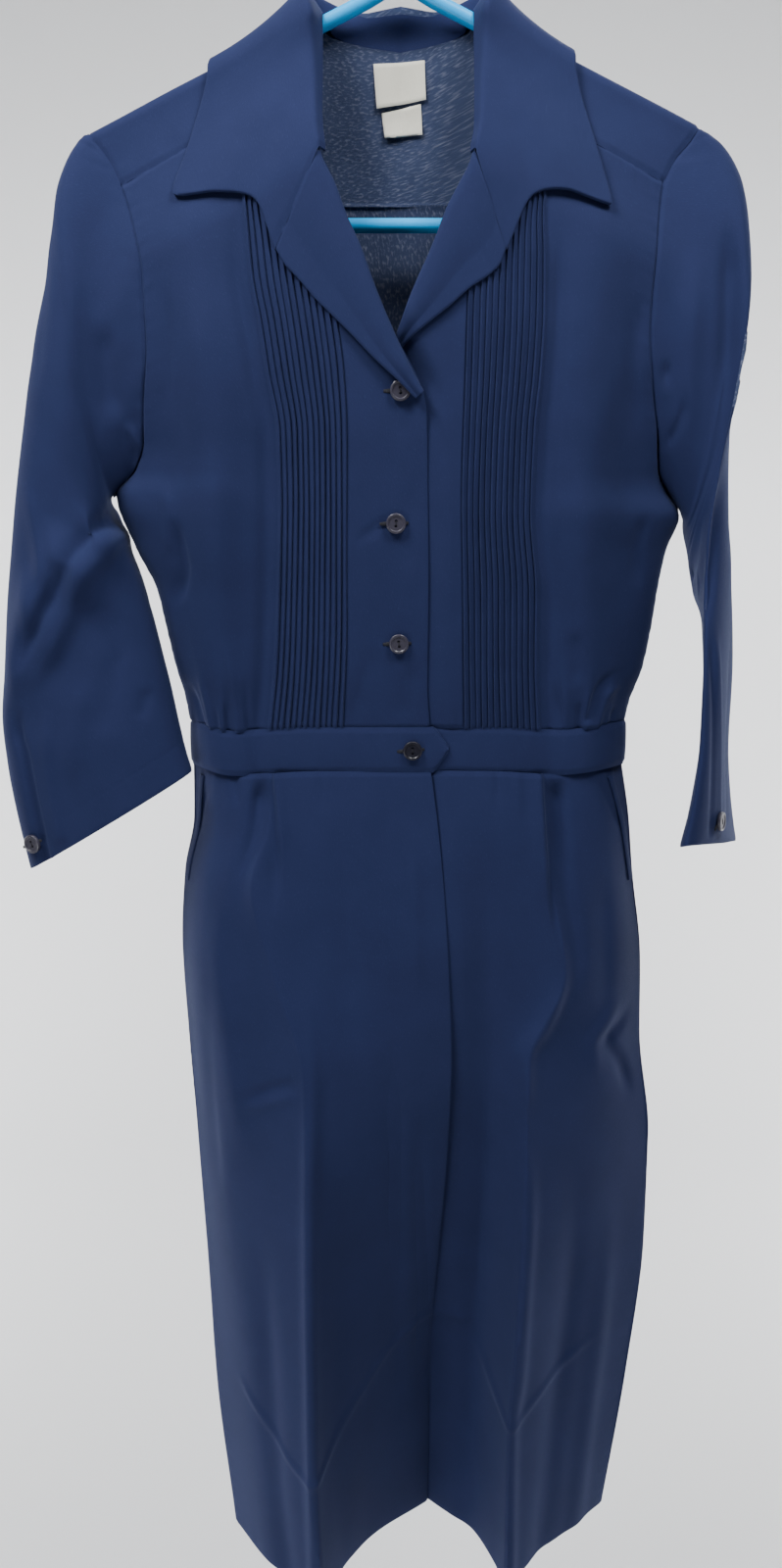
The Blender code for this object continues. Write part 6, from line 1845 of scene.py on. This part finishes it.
    def build(self, sleeves: dict[Side, Grid]) -> None:
        """Build the buttons, their thread and their buttonholes.

        Args:
            sleeves: the grid of each sleeve.
        """
        plain, shaded_button, thread = BUTTON.build(), BUTTON_PAINTED_SHADE.build(), THREAD.build()
        for name, point, normal, tilt, hole_tilt in self.seats(sleeves):
            piece = self.blank()
            piece.name = f"{name}_shaped"
            piece.data.transform(self.frame_at(point, normal, tilt))
            # The waist button takes the darker copy of the plastic, which paints the shade it sits in
            settle(piece, name, Slot.BUTTON, shaded_button if name == "button_waist" else plain)
            bar = self.strand(HOLE_OFFSET * 2, 0.0007, 0.0005)
            bar.name = f"{name}_thread"
            bar.data.transform(Matrix.Rotation(math.pi / 2, 4, "Z"))
            bar.data.transform(Matrix.Translation((0.0, 0.0, BUTTON_HEIGHT - self.sunk + 0.0001)))
            bar.data.transform(self.frame_at(point, normal, tilt))
            settle(bar, None, Slot.BUTTON, thread)
            slit = self.strand(self.hole_length, self.hole_width, 0.0012)
            slit.name = f"{name}_buttonhole"
            slit.data.transform(Matrix.Translation((-0.0012, 0.0, -0.0001)))
            slit.data.transform(self.frame_at(point, normal, hole_tilt))
            settle(slit, None, Slot.BUTTON, thread)


@dataclass
class Hanger:
    """The tubular hanger: the loop of its arms and bar, and its hook."""

    ring_points: int = 26
    resolution: int = 7

    def loop(self) -> list[tuple[float, float]]:
        """Return x and z of the loop's middle line."""
        spare = APEX_Z - BAR_Z - ARM_SLOPE * HANGER_HALF
        end_radius = spare / (1 + math.hypot(1.0, ARM_SLOPE) - ARM_SLOPE)
        centre_x, centre_z = HANGER_HALF - end_radius, BAR_Z + end_radius
        lean = math.atan(ARM_SLOPE)
        angles = [math.pi / 2 - lean - (math.pi - lean) * k / self.ring_points for k in range(self.ring_points + 1)]
        end = [(centre_x + end_radius * math.cos(a), centre_z + end_radius * math.sin(a)) for a in angles]
        top = [(x, APEX_Z - 0.0016 - 0.0034 * (x / 0.012) ** 2) for x in np.linspace(-0.012, 0.012, 9)]
        arm = [(x, APEX_Z - x * ARM_SLOPE) for x in np.linspace(0.02, centre_x, 8)[:-1]]
        bar = [(x, BAR_Z) for x in np.linspace(centre_x, -centre_x, 9)[1:-1]]
        return top + arm + end + bar + [(-x, z) for x, z in end[::-1]] + [(-x, z) for x, z in arm[::-1]]

    def hook(self) -> list[tuple[float, float]]:
        """Return x and z of the hook's middle line."""
        turn = HOOK_RADIUS + TUBE_RADIUS
        centre_z = TUBE_RADIUS - turn
        points = [(0.0, APEX_Z + 0.001), (0.0, APEX_Z + 0.012), (0.0004, APEX_Z + 0.020),
                  (0.0010, centre_z - turn - 0.0060)]
        for k in range(44):
            angle = math.radians(-78.0 + 258.0 * k / 43)
            points.append((turn * math.cos(angle), centre_z + turn * math.sin(angle)))
        return points + [(-turn - 0.0005, centre_z - 0.0045), (-turn - 0.0010, centre_z - 0.0080)]

    def tube(self, name: str, points: list[tuple[float, float]], radius: float, cyclic: bool) -> bpy.types.Object:
        """Model a round tube through points as a mesh.

        Args:
            name: the new object's name.
            points: x and z along its middle line.
            radius: the tube's radius.
            cyclic: whether it closes on itself.

        Returns:
            The object.
        """
        bpy.ops.object.select_all(action="DESELECT")
        bpy.ops.curve.primitive_bezier_curve_add(location=(0.0, 0.0, 0.0))
        piece = bpy.context.active_object
        piece.name = name
        curve = piece.data
        curve.splines.clear()
        spline = curve.splines.new("POLY")
        spline.points.add(len(points) - 1)
        for k, (x, z) in enumerate(points):
            spline.points[k].co = (x, 0.0, z, 1.0)
        spline.use_cyclic_u = cyclic
        curve.dimensions = "3D"
        curve.bevel_depth = radius
        curve.bevel_resolution = self.resolution
        curve.use_fill_caps = True
        bpy.ops.object.convert(target="MESH")
        bpy.ops.object.mode_set(mode="EDIT")
        bpy.ops.mesh.select_all(action="SELECT")
        bpy.ops.mesh.remove_doubles(threshold=1e-6)
        bpy.ops.object.mode_set(mode="OBJECT")
        return bpy.context.active_object

    def build(self) -> None:
        """Build the hanger as one moulding."""
        loop = self.tube("hanger_tube", self.loop(), TUBE_RADIUS, True)
        hook = self.tube("hanger_hook", self.hook(), TUBE_RADIUS, False)
        join = loop.modifiers.new("hook", "BOOLEAN")
        join.operation = "UNION"
        join.solver = "EXACT"
        join.object = hook
        bpy.ops.object.select_all(action="DESELECT")
        bpy.context.view_layer.objects.active = loop
        loop.select_set(True)
        bpy.ops.object.modifier_apply(modifier=join.name)
        bpy.data.objects.remove(hook)
        bpy.ops.object.shade_smooth_by_angle(angle=math.radians(40))
        settle(loop, "hanger", Slot.HANGER, HANGER_BLUE.build())


# Soft lights: name, place, aim, width and height, power in watts
LIGHTS = (
    ("left_box", (-0.80, -0.95, -1.15), (0.0, 0.0, -1.05), (0.6, 0.6), 6.0),
    ("right_box", (0.95, -0.75, -0.95), (0.1, 0.0, -1.00), (0.5, 0.7), 2.0),
    ("top_left_box", (-0.60, -0.52, 0.58), (0.0, 0.0, -0.35), (0.40, 0.40), 19.5),
    ("top_right_box", (0.46, -0.54, 0.64), (0.0, 0.0, -0.35), (0.40, 0.40), 15.0),
    ("backdrop_left", (-2.0, 0.70, -1.0), (-0.3, 2.8, -1.4), (0.8, 2.0), 90.0),
    ("backdrop_right", (2.0, 0.70, -1.0), (0.3, 2.8, -1.4), (0.8, 2.0), 90.0),
    ("back_box", (0.9, 1.20, 0.80), (0.0, 0.0, -0.60), (0.7, 0.6), 16.0),
)


@dataclass
class Studio:
    """The camera, the soft lights, the floor and the backdrop."""

    camera_at: tuple[float, float, float] = (-0.006, -0.81, -0.400)
    pitch_down: float = 13.0
    lens: float = 27.0
    pale: tuple[float, float, float] = (0.86, 0.87, 0.89)
    floor_z: float = -1.75
    wall_y: float = 2.8
    cove: float = 1.3

    def camera(self) -> None:
        """Add the camera at the viewing place."""
        data = bpy.data.cameras.new("view_camera")
        data.lens = self.lens
        data.clip_start = 0.01
        camera = bpy.data.objects.new("view_camera", data)
        camera.location = self.camera_at
        camera.rotation_euler = (math.radians(90.0 - self.pitch_down), 0.0, 0.0)
        bpy.context.scene.collection.objects.link(camera)
        bpy.context.scene.camera = camera

    def light(self, name: str, place: Sequence[float], aim: Sequence[float], size: tuple[float, float],
              power: float) -> None:
        """Add one soft light.

        Args:
            name: its name.
            place: where it stands.
            aim: what it points at.
            size: its width and height.
            power: its power in watts.
        """
        data = bpy.data.lights.new(name, "AREA")
        data.shape = "RECTANGLE"
        data.size, data.size_y = size
        data.energy = power
        lamp = bpy.data.objects.new(name, data)
        lamp.location = place
        lamp.rotation_euler = (Vector(aim) - Vector(place)).to_track_quat("-Z", "Y").to_euler()
        bpy.context.scene.collection.objects.link(lamp)

    def sweep(self, material: bpy.types.Material) -> None:
        """Add the pale floor, which curves up into the backdrop."""
        turn = [math.radians(90.0 * k / 24) for k in range(25)]
        wall, low = self.wall_y, self.floor_z
        line = [(-4.0, low)] + [(wall - self.cove + self.cove * math.sin(a), low + self.cove * (1 - math.cos(a)))
                                for a in turn] + [(wall, 3.0)]
        points = [(x, y, z) for y, z in line for x in (-5.0, 5.0)]
        mesh = bpy.data.meshes.new("studio_sweep")
        mesh.from_pydata(points, [], [(2 * k, 2 * k + 1, 2 * k + 3, 2 * k + 2) for k in range(len(line) - 1)])
        mesh.shade_smooth()
        mesh.materials.append(material)
        piece = bpy.data.objects.new("studio_sweep", mesh)
        bpy.context.scene.collection.objects.link(piece)

    def build(self) -> None:
        """Set up the studio."""
        self.camera()
        nodes = Nodes("pale_studio")
        nodes.feed(nodes.shader, {"Base Color": opaque(self.pale), "Roughness": 0.9})
        self.sweep(nodes.material)
        for row in LIGHTS:
            self.light(*row)
        world = bpy.data.worlds.new("pale_world")
        world.use_nodes = True
        background = world.node_tree.nodes["Background"]
        background.inputs["Color"].default_value = (0.93, 0.95, 1.0, 1.0)
        background.inputs["Strength"].default_value = 0.05
        bpy.context.scene.world = world


def main() -> None:
    """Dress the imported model, piece by piece."""
    logging.basicConfig(level=logging.INFO, format="%(message)s")
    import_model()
    right, wrong, label = NAVY.build(), NAVY_WRONG.build(), LABEL_WHITE.build()
    Hanger().build()
    bodice, skirt = Bodice(), Skirt()
    Yoke().piece().dress(right, wrong)
    for piece in (*bodice.fronts(), bodice.back(), *(Lapel(side).piece() for side in Side), Collar().piece(),
                  Waistband().piece()):
        piece.dress(right, wrong)
    welts = {f"skirt_front_{side.value}": [skirt.pocket(side).dress(right, wrong)] for side in Side}
    for piece in skirt.pieces():
        piece.dress(right, wrong, welts.get(piece.node, ()))
    sleeves = {}
    for side in Side:
        sleeve = Sleeve(side).piece()
        sleeve.dress(right, wrong)
        sleeves[side] = sleeve.base
    for piece in Labels().pieces():
        piece.dress(label, label)
    Buttons().build(sleeves)
    Studio().build()


if __name__ == "__main__":
    main()
